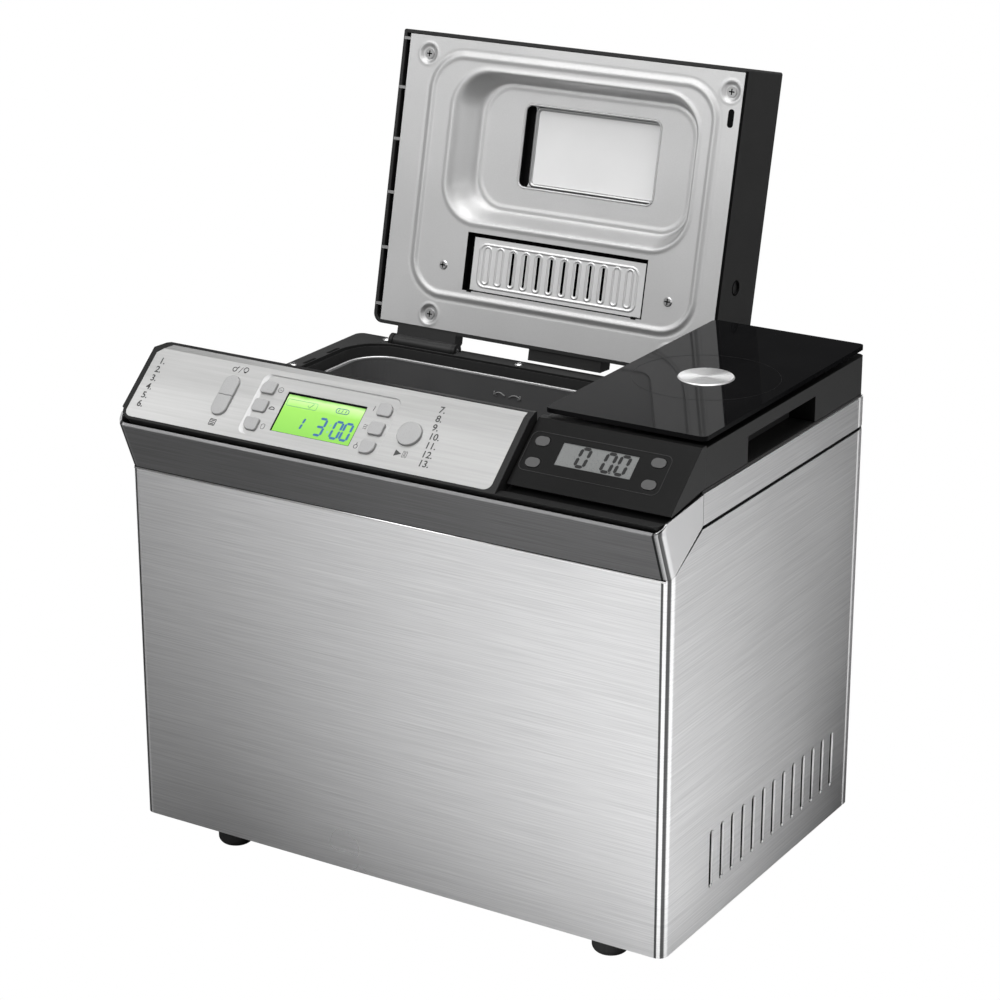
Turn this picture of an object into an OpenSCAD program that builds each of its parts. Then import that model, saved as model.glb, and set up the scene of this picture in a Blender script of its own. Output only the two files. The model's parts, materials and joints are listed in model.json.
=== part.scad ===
// Bread machine with an open hinged lid, a lift-out bread pan and a lift-off kitchen scale.
// The origin is the centre of the base plate's underside. +Z is up and the front faces -Y.

/* [Body] */
// Width of the body
body_w = 400; // [390:1:430]
// Depth of the body, front panel to back panel
body_d = 266; // [262:1:290]
// Height of the front panel above the underside of the base
front_h = 249; // [240:1:270]
// How much higher the side panels stand than the front panel
side_rise = 20.6; // [16:0.2:26]
// Thickness of the steel sheets
sheet_t = 1; // [0.6:0.1:1.4]
// Radius of the upright corners
corner_r = 6.5; // [4:0.5:9]
// Width of the joints between panels
seam = 2.4; // [1:0.1:3]
// Distance from the front panel to the upright seam on the side
seam_back = 39; // [35:1:45]
// Thickness of the base plate
base_t = 2.5; // [2:0.1:4]
// Height of the rim round the base plate
base_rim_h = 12; // [8:1:20]

/* [Feet] */
// Height of the rubber feet
foot_h = 12; // [8:0.5:16]
// Diameter of the rubber feet
foot_d = 24; // [18:1:28]
// Distance of the left feet from the left side
foot_left = 65; // [30:1:80]
// Distance of the right feet from the right side
foot_right = 45; // [30:1:80]
// Distance of the feet from the front and back panels
foot_deep = 15; // [15:1:30]

/* [Side vents] */
// Number of upright slots in the right side
vent_n = 13; // [5:1:15]
// Distance between the slots
vent_pitch = 14.4; // [8:0.2:15]
// Length of the slots
vent_h = 40; // [20:0.4:60]
// Width of the slots
vent_w = 5; // [2:0.1:6]
// Height of the lower end of the slots
vent_z = 23.1; // [20:0.1:60]
// Distance from the front panel to the first slot
vent_front = 61.3; // [50:0.1:64]

/* [Front band] */
// Height of the flared band above the front panel
band_h = 31.6; // [26:0.2:36]
// How far the top of the band stands forward of the front panel
band_flare = 13; // [8:0.5:18]
// Thickness of the band
band_t = 1.5; // [1:0.1:2]

/* [Control panel] */
// Slope of the control panel in degrees
panel_a = 41.2; // [38:0.2:44]
// Length of the slope up to its fold
panel_len = 54.7; // [52:0.1:58]
// Slope of the narrow strip above the fold in degrees
strip_a = 22; // [15:1:30]
// Length of the narrow strip above the fold
strip_len = 6; // [4:0.2:7]
// Gap between the control panel and the scale
panel_gap = 2.5; // [2:0.1:3.5]
// Wall thickness of the plastic mouldings
wall = 2.5; // [2:0.1:3]
// Thickness of the faceplate
plate_t = 1.6; // [1.2:0.1:2]
// Width of the black edge left and right of the faceplate
plate_edge = 4.5; // [3:0.5:7]
// Width of the black edge below the faceplate
plate_low = 1.8; // [1:0.1:3]
// Depth of the pressed field round the display
field_deep = 0.8; // [0.4:0.1:1]
// Width of the pressed field
field_w = 104; // [100:1:110]
// Distance from the left end of the panel to the middle of the display
display_x = 144.1; // [136:0.1:150]
// Width of the display window
display_w = 59.8; // [50:0.2:62]
// Height of the display window along the slope
display_h = 29.4; // [24:0.2:32]
// Distance from the front edge of the slope to the middle of the display
display_v = 27; // [26:0.2:28.4]

/* [Keys] */
// Width of the six small keys
key_w = 10; // [8:0.2:11]
// Height of the six small keys along the slope
key_h = 8.8; // [7:0.2:10]
// Distance between neighbouring small keys along the slope
key_pitch = 13.8; // [13:0.2:14.6]
// Distance from the middle of the display to the key columns
key_off = 44.1; // [43:0.1:46]
// Width of the rocker keys
rocker_w = 11; // [9:0.2:14]
// Length of each rocker key
rocker_l = 14.6; // [12:0.2:16]
// Distance from the left end of the panel to the rocker keys
rocker_x = 71.5; // [60:0.5:74]
// Diameter of the round start key
start_d = 16.4; // [12:0.2:18]
// Distance from the left end of the panel to the start key
start_x = 212; // [208:0.5:230]
// How far the keys stand above the faceplate
key_up = 1.6; // [1:0.1:2.5]
// Travel of the keys
key_travel = 0.8; // [0.4:0.1:1]
// Gap round each key
key_gap = 0.3; // [0.2:0.05:0.5]

/* [Oven] */
// Corner radius of the oven cavity
cavity_r = 28; // [26:1:32]
// Distance from the left side to the oven cavity
cavity_left = 18; // [16:1:20]
// Distance from the oven cavity to the right edge of the lid
cavity_right = 4.9; // [4:0.1:7]
// Distance from the back panel to the oven cavity
cavity_back = 18; // [17:0.5:20]
// Height of the oven floor above the underside of the base
floor_z = 86; // [82:1:96]
// Thickness of the oven lining
lining_t = 0.8; // [0.6:0.1:1.2]
// Thickness of the deck round the oven cavity
deck_t = 8; // [7:0.5:10]
// Diameter of the heater tube
heater_d = 6.5; // [5:0.1:8]
// Gap between the heater loop and the oven wall
heater_in = 17; // [14:1:22]

/* [Bread pan] */
// Gap between the pan's rim and the oven at each side
pan_side = 9; // [8.5:0.1:12]
// Gap between the pan's rim and the oven at front and back
pan_front = 12; // [10.5:0.1:15]
// How far the pan's rim lies below the deck
rim_drop = 3; // [2:0.5:6]
// Corner radius of the pan's rim
pan_r = 27; // [24:1:32]
// Thickness of the pan wall
pan_t = 1.8; // [1.4:0.1:2.4]
// Width of the rolled rim
rim_w = 3; // [2:0.2:4]
// How much each wall leans inward from top to bottom
pan_lean = 8; // [5:0.5:12]
// Diameter of the handle wire
bail_d = 4; // [3:0.2:4.4]
// Radius of the paddle hub
hub_r = 9; // [7.5:0.5:11]
// Reach of the paddle blade from its axis
blade_l = 56; // [40:1:70]
// Height of the paddle blade
blade_h = 26; // [18:1:30]

/* [Drive] */
// Radius of the drive shaft
shaft_r = 4; // [3.5:0.1:5]
// Radius of the large pulley
wheel_r = 42; // [36:1:46]
// Radius of the motor pulley
pinion_r = 9; // [7:0.5:12]
// Distance from the right side to the motor shaft
motor_in = 60; // [54:1:64]
// Radius of the motor
motor_r = 32; // [26:1:36]
// Height of the motor
motor_h = 55; // [45:1:70]

/* [Lid] */
// Gap between the lid and the scale
lid_side = 1.6; // [1.2:0.1:2.4]
// Gap between the closed lid's front edge and the upright seam on the side
lid_fore = 1.2; // [0.8:0.1:2]
// Thickness of the lid
lid_t = 51.2; // [46:0.2:56]
// Distance from the left side of the body to the lid
lid_left = 14.4; // [14:0.1:15]
// Angle of the open lid from closed, in degrees
lid_open = 102.6; // [96:0.2:106]
// Distance from the back panel to the hinge axis
hinge_in = 6.5; // [6:0.1:7.5]
// Gap under the closed lid
lid_gap = 1.9; // [1.4:0.1:2.4]
// Radius of the hinge pins
pin_r = 2; // [1.5:0.1:2.2]
// Depth of the pressed bowl in the inner plate
bowl_deep = 14; // [10:0.5:18]
// Width of the window in the inner plate
window_w = 104; // [90:1:112]
// Height of the window in the inner plate
window_h = 57; // [48:1:62]
// Number of slots in the steam grille
grille_n = 12; // [8:1:12]

/* [Scale] */
// Width of the scale
scale_w = 110.5; // [109:0.5:111]
// Height of the steel strip below the scale
strip_h = 20; // [18:1:26]
// Height of the side of the scale housing
scale_h = 25.4; // [24:0.2:27]
// Thickness of the glass platform
glass_t = 3; // [3:0.2:6]
// How far the glass platform sinks under a full load
platform_travel = 0.5; // [0.2:0.1:0.8]
// Gap between the housing and the glass platform
glass_gap = 3.8; // [2.4:0.1:4.4]
// Corner radius of the glass platform
glass_r = 4; // [2:0.5:8]
// Radius of the metal disc on the platform
disc_r = 18; // [14:0.5:24]
// Slope of the scale's front face in degrees
face_a = 39.9; // [38:0.2:42]
// Length of the scale's front face along the slope
face_len = 49; // [47:0.2:49.6]
// Width of the scale's display
face_lcd_w = 52; // [44:1:56]
// Height of the scale's display along the slope
face_lcd_h = 16.4; // [13:0.2:18]
// Length of the finger grip in the side of the scale
grip_l = 93; // [80:1:110]
// Height of the finger grip
grip_h = 17; // [14:0.5:18]
// Depth of the finger grip
grip_deep = 18; // [14:1:22]

/* [Fits] */
// Clearance between pieces that move past each other
clear = 0.3; // [0.2:0.05:0.5]
// Radial running clearance of shafts and pins
run = 0.05; // [0.02:0.01:0.09]

/* [Hidden] */
$fn = 48;

steel = [0.74, 0.74, 0.75];
dark_steel = [0.36, 0.36, 0.37];
black = [0.07, 0.07, 0.08];
silver = [0.72, 0.72, 0.70];

// Datum planes of the body
left = -body_w / 2;
right = body_w / 2;
front = -body_d / 2;
back = body_d / 2;
side_h = front_h + side_rise;
seam_y = front + seam_back;
deck_z = side_h + seam;
strip_top = deck_z + strip_h;
band_top = front_h + band_h;
band_y = front - band_flare;

// Sloped control panel
nose_y = band_y + 1.5;
nose_z = band_top + 5.4;
fold_y = nose_y + panel_len * cos(panel_a);
fold_z = nose_z + panel_len * sin(panel_a);
crest_y = fold_y + strip_len * cos(strip_a);
crest_z = fold_z + strip_len * sin(strip_a);
panel_back = crest_y + wall;
display_cx = left + display_x;
rocker_cx = left + rocker_x;
start_cx = left + start_x;

// Scale, and what stands left of it
scale_x1 = right - 1;
scale_x0 = scale_x1 - scale_w;
panel_right = scale_x0 - panel_gap;
lid_x0 = left + lid_left;
lid_x1 = scale_x0 - lid_side;
cavity_w = lid_x1 - cavity_right - left - cavity_left;
cavity_d = back - cavity_back - seam_y - 2;

// Oven, pan and drive share one upright axis
oven_x = left + cavity_left + cavity_w / 2;
oven_y = back - cavity_back - cavity_d / 2;
pan_foot_h = 24;
pan_z = floor_z + pan_foot_h + 2;
rim_z = deck_z - rim_drop;
pan_h = rim_z - pan_z;
pan_w = cavity_w - 2 * pan_side;
pan_d = cavity_d - 2 * pan_front;
socket_r = 50;
neck_r = 20;
bush_r = 7;
bush_l = 12;
wheel_z = 20;
wheel_h = 12;
motor_x = right - motor_in;
motor_z = wheel_z + wheel_h + 6;
bail_z = rim_z - 8;
bail_x = pan_w / 2 - rim_w + 8;
bail_y = pan_d / 2 + bail_d / 2 + 4;
bail_bend = 34;

// Lid, drawn closed and then turned open about the hinge axis
hinge_y = back - hinge_in;
hinge_z = deck_z + 1;
lid_z0 = deck_z + lid_gap;
lid_back = hinge_y - 10.5;
lid_front = seam_y + lid_fore;
lid_l = lid_back - lid_front;
arm_spans = [[lid_x0 + 18.2, lid_x0 + 73.6], [lid_x1 - 62.9, lid_x1 - 6.9]];
ear_t = 3;

// Heights and faces of the scale
tray_top = strip_top + 1.8;
scale_z0 = tray_top + clear;
scale_top = scale_z0 + scale_h;
scale_back = back - 2.5;
glass_z0 = scale_top + glass_gap;
face_y = seam_y - 1.2 - face_len * cos(face_a);
face_z = scale_top + 1.5 - face_len * sin(face_a);
disc_x = (scale_x0 + scale_x1) / 2;
disc_y = seam_y + 108;

// Rounded rectangle from corner (x0, y0) to corner (x1, y1)
module plan(x0, x1, y0, y1, r) {
  translate([x0 + r, y0]) square([x1 - x0 - 2 * r, y1 - y0]);
  translate([x0, y0 + r]) square([x1 - x0, y1 - y0 - 2 * r]);
  for (x = [x0 + r, x1 - r], y = [y0 + r, y1 - r]) translate([x, y]) circle(r);
}

// Rounded slab between two heights
module slab(x0, x1, y0, y1, z0, z1, r) {
  translate([0, 0, z0]) linear_extrude(z1 - z0) plan(x0, x1, y0, y1, r);
}

// Rounded slab whose front and back corners differ
module lid_block(inset, z0, z1) {
  translate([0, 0, z0]) linear_extrude(z1 - z0) {
    x0 = lid_x0 + inset;
    x1 = lid_x1 - inset;
    y0 = lid_front + inset;
    y1 = lid_back - inset;
    rf = lid_r_front - min(inset, 1);
    rb = lid_r_back - inset;
    translate([x0 + rf, y0]) square([x1 - x0 - 2 * rf, y1 - y0 - rb]);
    translate([x0, y0 + rf]) square([x1 - x0, y1 - y0 - rf - rb]);
    translate([x0 + rb, y1 - rb - 1]) square([x1 - x0 - 2 * rb, rb + 1]);
    for (x = [x0 + rf, x1 - rf]) translate([x, y0 + rf]) circle(rf);
    for (x = [x0 + rb, x1 - rb]) translate([x, y1 - rb]) circle(rb);
  }
}

// Plain box between two corners
module box(x0, x1, y0, y1, z0, z1) {
  translate([x0, y0, z0]) cube([x1 - x0, y1 - y0, z1 - z0]);
}

// Side outline in Y and Z, drawn out along X
module profile(x0, x1, points) {
  translate([x0, 0, 0]) rotate([90, 0, 90]) linear_extrude(x1 - x0) polygon(points);
}

// Round bar along X
module bar_x(x0, x1, y, z, r) {
  translate([x0, y, z]) rotate([0, 90, 0]) cylinder(r = r, h = x1 - x0);
}

// Flat outline with round ends, of length l along Y
module capsule(w, l) {
  square([w, l - w], center = true);
  for (s = [-1, 1]) translate([0, s * (l - w) / 2]) circle(w / 2);
}

// Places its children on the control panel: x along the panel, y up the slope, z outward
module on_panel() {
  translate([0, nose_y, nose_z]) rotate([panel_a, 0, 0]) children();
}

// Places its children on the front face of the scale
module on_face() {
  translate([0, face_y, face_z]) rotate([face_a, 0, 0]) children();
}

// Turns the closed lid to its open rest position
module opened() {
  translate([0, hinge_y, hinge_z]) rotate([-lid_open, 0, 0]) translate([0, -hinge_y, -hinge_z]) children();
}

// ---- Body ----

module body_wrap() color(steel) difference() {
  intersection() {
    linear_extrude(side_h) difference() {
      plan(left, right, front, back, corner_r);
      plan(left + sheet_t, right - sheet_t, front + sheet_t, back - sheet_t, corner_r - sheet_t);
      translate([left + rear_return, back - 2 * sheet_t]) square([body_w - 2 * rear_return, 3 * sheet_t]);
    }
    profile(left - 1, right + 1, [
      [front - 1, -1], [back + 1, -1], [back + 1, side_h], [seam_y, side_h],
      [front + 2, front_h], [front - 1, front_h]
    ]);
  }
  for (i = [0 : vent_n - 1])
    translate([right, front + vent_front + i * vent_pitch, vent_z + vent_h / 2])
      rotate([90, 0, 90]) linear_extrude(6 * sheet_t, center = true) capsule(vent_w, vent_h);
}
rear_return = corner_r + 1;

gland_x = right - 80;
gland_z = 34;
gland_r = 8;
module rear_panel() color(steel) difference() {
  box(left + rear_return, right - rear_return, back - sheet_t, back, 0, side_h);
  for (i = [0 : 9])
    for (z = [150, 195])
      translate([left + 110 + i * vent_pitch, back, z])
        rotate([90, 0, 0]) linear_extrude(6 * sheet_t, center = true) capsule(vent_w, vent_h);
  translate([gland_x, back - 3 * sheet_t, gland_z]) rotate([-90, 0, 0]) cylinder(r = gland_r, h = 6 * sheet_t);
}

module cord_gland() color(black) translate([gland_x, back, gland_z]) rotate([-90, 0, 0]) difference() {
  union() {
    translate([0, 0, -6]) cylinder(r = gland_r, h = 7);
    cylinder(r = gland_r + 4, h = 2.4);
    translate([0, 0, -sheet_t - 2]) cylinder(r = gland_r + 3, h = 2);
  }
  translate([0, 0, -7]) cylinder(r = gland_r - 4, h = 11);
}

foot_spots = [
  [left + foot_left, front + foot_deep], [right - foot_right, front + foot_deep],
  [left + foot_left, back - foot_deep], [right - foot_right, back - foot_deep]
];
stem_r = 3;
foot_edge = 5;
pad_w = 150;
pad_d = 110;
pad_groove = 3;
module base_plate() color(black) difference() {
  slab(left + sheet_t, right - sheet_t, front + sheet_t, back - sheet_t, 0, base_rim_h, corner_r - sheet_t);
  slab(left + sheet_t + wall, right - sheet_t - wall, front + sheet_t + wall, back - sheet_t - wall,
       base_t, base_rim_h + 1, max(corner_r - sheet_t - wall, 0.5));
  for (p = foot_spots) translate([p[0], p[1], -1]) cylinder(r = stem_r, h = base_t + 2);
  translate([0, 0, -1]) linear_extrude(2) difference() {
    plan(-pad_w / 2 - pad_groove, pad_w / 2 + pad_groove, -pad_d / 2 - pad_groove, pad_d / 2 + pad_groove, 9);
    plan(-pad_w / 2, pad_w / 2, -pad_d / 2, pad_d / 2, 9 - pad_groove);
  }
  for (i = [0 : 9])
    for (y = [-70, 70])
      translate([motor_x - 45 + i * 9, y, -1]) linear_extrude(base_t + 2) capsule(vent_w, vent_h);
}

module feet() color([0.05, 0.05, 0.05]) for (p = foot_spots) translate([p[0], p[1], 0]) {
  translate([0, 0, -foot_h]) rotate_extrude() {
    square([foot_d / 2 - foot_edge, foot_h]);
    translate([0, foot_edge]) square([foot_d / 2, foot_h - foot_edge]);
    translate([foot_d / 2 - foot_edge, foot_edge]) circle(foot_edge);
  }
  cylinder(r = stem_r, h = base_t);
}

// Slice of the flared band at one height
module band_slice(z, y, inset, h) {
  translate([0, 0, z]) linear_extrude(h)
    plan(left + inset, right - inset, y + inset, seam_y + 20, corner_r - inset);
}
module band_solid(inset) hull() {
  band_slice(front_h - 0.1, front, inset, 0.1);
  band_slice(band_top, band_y, inset, strip_top - band_top + 1);
}
cheek_y = band_y + 7;
cheek_z = band_top + 6.9;
band_back_z = strip_top - 0.4;
module front_band() color(dark_steel) intersection() {
  difference() {
    band_solid(0);
    band_solid(band_t);
  }
  profile(left - 1, right + 1, [
    [band_y - 5, front_h + clear], [front + 2, front_h + clear], [seam_y, deck_z],
    [seam_y, band_back_z], [cheek_y, cheek_z], [band_y - 0.5, band_top], [band_y - 5, band_top]
  ]);
}

module side_strip() color(steel) intersection() {
  translate([0, 0, deck_z]) linear_extrude(strip_h) difference() {
    plan(left, right, front, back, corner_r);
    plan(left + sheet_t, right - sheet_t, front + sheet_t, back - sheet_t, corner_r - sheet_t);
  }
  box(right - rear_return, right + 1, seam_y + 0.4, back + 1, deck_z - 1, strip_top + 1);
}

// ---- Deck and oven ----

deck_screw_spots = [
  [left + 6.2, seam_y + 135], [left + 28.2, back - 6.4], [left + 140, back - 8.5],
  [left + 6.2, seam_y + 20]
];
deck_screw_r = 1.5;
module deck() color(black) difference() {
  union() {
    slab(left + band_t + clear, right - band_t - clear, front + 6, back - sheet_t - clear, deck_z - deck_t, deck_z, corner_r);
    slab(left + 0.4, right - 0.4, seam_y + 0.4, back - 0.4, side_h, deck_z, corner_r - 0.4);
  }
  slab(oven_x - cavity_w / 2, oven_x + cavity_w / 2, oven_y - cavity_d / 2, oven_y + cavity_d / 2,
       deck_z - deck_t - 1, deck_z + 1, cavity_r);
  for (s = arm_spans) box(s[0], s[1], hinge_y - 5.5, back + 1, hinge_z - 5.2, deck_z + 1);
  for (y = [seam_y + 150, seam_y + 179])
    translate([left + 10.3, y, deck_z - 3]) linear_extrude(4) capsule(3, 15);
  translate([left + 22.3, back - 20.4, deck_z - 0.8]) rotate([0, 0, -45]) linear_extrude(2) capsule(1, 18);
  for (p = deck_screw_spots)
    translate([p[0], p[1], deck_z - 6]) cylinder(r = deck_screw_r, h = 8);
}

module deck_screws() color(silver) for (p = deck_screw_spots) translate([p[0], p[1], deck_z]) {
  difference() {
    union() {
      cylinder(r = 3.3, h = 0.6);
      translate([0, 0, 0.6]) cylinder(r1 = 3.3, r2 = 2.2, h = 0.7);
    }
    translate([-0.4, -1.8, 0.7]) cube([0.8, 3.6, 1]);
    translate([-1.8, -0.4, 0.7]) cube([3.6, 0.8, 1]);
  }
  translate([0, 0, -6]) cylinder(r = deck_screw_r, h = 6);
}

// Outline of the oven, grown by g
module oven_plan(g) {
  plan(oven_x - cavity_w / 2 - g, oven_x + cavity_w / 2 + g,
       oven_y - cavity_d / 2 - g, oven_y + cavity_d / 2 + g, cavity_r + g);
}
heater_z = floor_z + 12;
heater_gap = 8;
heater_x1 = oven_x + cavity_w / 2 - heater_in;
collar_r = 5;
sensor_z = floor_z + 64;
sensor_r = 3;
module oven_chamber() color([0.55, 0.55, 0.54]) difference() {
  union() {
    translate([0, 0, floor_z - lining_t]) linear_extrude(deck_z - deck_t - floor_z + lining_t) oven_plan(lining_t);
    translate([0, 0, deck_z - deck_t - lining_t]) linear_extrude(lining_t) oven_plan(9);
  }
  translate([0, 0, floor_z]) linear_extrude(deck_z) oven_plan(0);
  translate([oven_x, oven_y, floor_z - 2]) cylinder(r = neck_r, h = 4);
  for (s = [-1, 1]) bar_x(heater_x1 + heater_in - 3, heater_x1 + heater_in + 3, oven_y + s * heater_gap, heater_z, collar_r);
  translate([oven_x + 70, oven_y - cavity_d / 2 - 3, sensor_z]) rotate([-90, 0, 0]) cylinder(r = sensor_r, h = 6);
}

leg_w = 22;
// Four sheet legs between the base plate and the oven
module oven_legs() color(steel) for (sx = [-1, 1]) for (sy = [-1, 1])
  translate([oven_x + sx * (cavity_w / 2 - 30), oven_y + sy * (cavity_d / 2 - 30), 0]) {
    box(-leg_w / 2, leg_w / 2, 0, 1.5, base_t, floor_z - lining_t);
    box(-leg_w / 2, leg_w / 2, min(0, sy * 14), max(1.5, sy * 14), base_t, base_t + 1.5);
  }

// Quarter bend of the heater tube with its centre at (x, y)
module bend(x, y, r, from) {
  translate([x, y, heater_z]) rotate([0, 0, from]) rotate_extrude(angle = 90)
    translate([r, 0]) circle(d = heater_d);
}
// Straight run of the heater tube along X or along Y
module run_x(x0, x1, y) {
  bar_x(x0, x1, y, heater_z, heater_d / 2);
}
module run_y(x, y0, y1) {
  translate([x, y0, heater_z]) rotate([-90, 0, 0]) cylinder(d = heater_d, h = y1 - y0);
}
heater_r = 22;
tail_r = 9;
module heater() color([0.3, 0.29, 0.28]) {
  x0 = oven_x - cavity_w / 2 + heater_in;
  x1 = heater_x1;
  y0 = oven_y - cavity_d / 2 + heater_in;
  y1 = oven_y + cavity_d / 2 - heater_in;
  bend(x0 + heater_r, y0 + heater_r, heater_r, 180);
  bend(x1 - heater_r, y0 + heater_r, heater_r, 270);
  bend(x0 + heater_r, y1 - heater_r, heater_r, 90);
  bend(x1 - heater_r, y1 - heater_r, heater_r, 0);
  run_x(x0 + heater_r, x1 - heater_r, y0);
  run_x(x0 + heater_r, x1 - heater_r, y1);
  run_y(x0, y0 + heater_r, y1 - heater_r);
  run_y(x1, y0 + heater_r, oven_y - heater_gap - tail_r);
  run_y(x1, oven_y + heater_gap + tail_r, y1 - heater_r);
  bend(x1 + tail_r, oven_y - heater_gap - tail_r, tail_r, 90);
  bend(x1 + tail_r, oven_y + heater_gap + tail_r, tail_r, 180);
  for (s = [-1, 1]) {
    run_x(x1 + tail_r, x1 + heater_in + 14, oven_y + s * heater_gap);
    bar_x(x1 + heater_in - 2, x1 + heater_in + 5, oven_y + s * heater_gap, heater_z, collar_r);
  }
}

module temp_sensor() color(silver) translate([oven_x + 70, oven_y - cavity_d / 2, sensor_z]) rotate([90, 0, 0]) {
  translate([0, 0, -9]) cylinder(r = sensor_r, h = 22);
  translate([0, 0, lining_t]) cylinder(r = sensor_r + 3, h = 2);
}

// ---- Control panel ----

hole = key_gap;
key_v = display_v + 0.7;
small_keys = [for (s = [-1, 1]) for (i = [-1 : 1]) [display_cx - 0.7 + s * key_off, key_v + i * key_pitch]];

key_r = 1.6;
outer_r = 5;
// Outline of small key number i, grown by g; the four end keys have one large corner
module key_plan(g, i) {
  w = key_w / 2 + g;
  h = key_h / 2 + g;
  r = outer_r + g;
  side = i < 3 ? -1 : 1;
  end = i % 3 - 1;
  difference() {
    plan(-w, w, -h, h, key_r + g);
    if (end != 0) translate([side * w, end * h]) difference() {
      square(2 * r, center = true);
      translate([-side * r, -end * r]) circle(r);
      translate([-side * (w + r), 0]) square([2 * w, 2 * r], center = true);
      translate([0, -end * (h + r)]) square([2 * r, 2 * h], center = true);
    }
  }
}
// Tool that rounds off the corner at the origin of a plate lying in +X and +Y
module round_off(r) linear_extrude(40, center = true) difference() {
  translate([-3, -3]) square(r + 3);
  translate([r, r]) circle(r);
}
// Outline of one rocker key, round at its outer end; s is 1 for the upper one
module rocker_plan(s, g) {
  w = rocker_w / 2;
  l = rocker_l - w;
  translate([0, s * (0.15 + l)]) circle(w + g);
  translate([-w - g, s > 0 ? 0.15 - g : -0.15 - l]) square([2 * w + 2 * g, l + g]);
}
// The whole rocker opening
module rocker_hole(g) {
  translate([0, 0]) capsule(rocker_w + 2 * g, 2 * rocker_l + 0.3 + 2 * g);
}
rocker_v = display_v + 2.6;
start_v = display_v + 1.2;

housing_outline = [
  [nose_y + 3, band_top + clear], [nose_y, nose_z], [fold_y, fold_z], [crest_y, crest_z],
  [panel_back, crest_z], [panel_back, deck_z], [front + 2, deck_z], [front - 4, band_top + clear]
];
function inward(p, d) = [p[0] + d * sin(panel_a), p[1] - d * cos(panel_a)];
module control_housing() color(black) difference() {
  union() {
    difference() {
      profile(left + band_t + clear, panel_right, housing_outline);
      profile(left + 2 * wall, panel_right - wall, [
        [front + 4, deck_z - 1], [front - 1, band_top + 3], inward([nose_y + 5, nose_z + 3], 2 * wall),
        inward([fold_y, fold_z], wall + plate_t), inward([crest_y - 1, crest_z - 1], wall + plate_t),
        [panel_back - wall, crest_z - 2 * wall - plate_t], [panel_back - wall, deck_z - 1]
      ]);
    }
    profile(left + 0.4, left + wall, [
      [nose_y + 1.4, nose_z - 1.2], [nose_y, nose_z], [fold_y, fold_z], [crest_y, crest_z],
      [panel_back, crest_z], [panel_back, band_back_z + clear], [cheek_y, cheek_z + 0.4]
    ]);
    on_panel() for (x = [display_cx - 58, display_cx + 76]) for (v = [12, 46])
      translate([x, v, board_n]) cylinder(r = 3, h = -board_n - wall);
  }
  on_panel() faceplate(0.01);
  on_panel() translate([left, panel_len + 8.5, 0]) rotate([0, 0, 45]) cube([13, 13, 40], center = true);
  on_panel() translate([left + band_t + clear, 0, 0]) round_off(corner_r + 1);
  on_panel() translate([0, 0, -3 * wall]) linear_extrude(3 * wall) {
    translate([display_cx - field_w / 2 - 1, display_v - 20.4]) square([field_w + 2, 42]);
    translate([rocker_cx, rocker_v]) rocker_hole(2.4);
    translate([start_cx, start_v]) circle(start_d / 2 + 2.4);
  }
}
plate_r = 5;
// The folded faceplate in panel coordinates; g grows it for its pocket
module faceplate(g) {
  k = panel_a - strip_a;
  b = strip_len - 1.2 + g;
  x0 = left + plate_edge - g;
  x1 = panel_right - plate_edge + g;
  difference() {
    translate([x0, 0, 0]) rotate([90, 0, 90]) linear_extrude(x1 - x0) polygon([
      [plate_low, -plate_t], [plate_low, g], [panel_len, g], [panel_len + b * cos(k), g - b * sin(k)],
      [panel_len + b * cos(k) - plate_t * sin(k), -b * sin(k) - plate_t * cos(k)],
      [panel_len - plate_t * tan(k / 2), -plate_t]
    ]);
    translate([left + plate_edge, panel_len + 6, 0]) rotate([0, 0, 45]) cube([14, 14, 20], center = true);
    translate([left + plate_edge, plate_low, 0]) round_off(plate_r);
    translate([panel_right - plate_edge, plate_low, 0]) mirror([1, 0, 0]) round_off(plate_r);
  }
}
module control_plate() color(silver) on_panel() difference() {
  faceplate(0);
  translate([0, 0, -field_deep]) linear_extrude(2)
    plan(display_cx - field_w / 2, display_cx + field_w / 2, display_v - 21, display_v + 24, 5);
  translate([0, 0, -3 * plate_t]) linear_extrude(6 * plate_t) {
    translate([display_cx, display_v]) square([display_w, display_h], center = true);
    for (i = [0 : 5]) translate(small_keys[i]) key_plan(hole, i);
    translate([rocker_cx, rocker_v]) rocker_hole(hole);
    translate([start_cx, start_v]) circle(start_d / 2 + hole);
  }
}

board_n = -9.4;
board_t = 1.4;
module control_lcd() color([0.6, 0.95, 0.35]) on_panel()
  translate([display_cx, display_v, board_n]) linear_extrude(-board_n - plate_t)
    square([display_w + 3, display_h + 4], center = true);

switch_h = 3;
module control_board() color([0.1, 0.35, 0.18]) on_panel() {
  translate([rocker_cx - 9, 8, board_n - board_t]) cube([start_cx - rocker_cx + 22, 43, board_t]);
  for (k = concat(small_keys, [[rocker_cx, rocker_v + 8], [rocker_cx, rocker_v - 8], [start_cx, start_v]]))
    translate([k[0] - 3, k[1] - 3, board_n]) cube([6, 6, switch_h]);
}

flange = 1.1;
key_low = -4.6;
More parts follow.
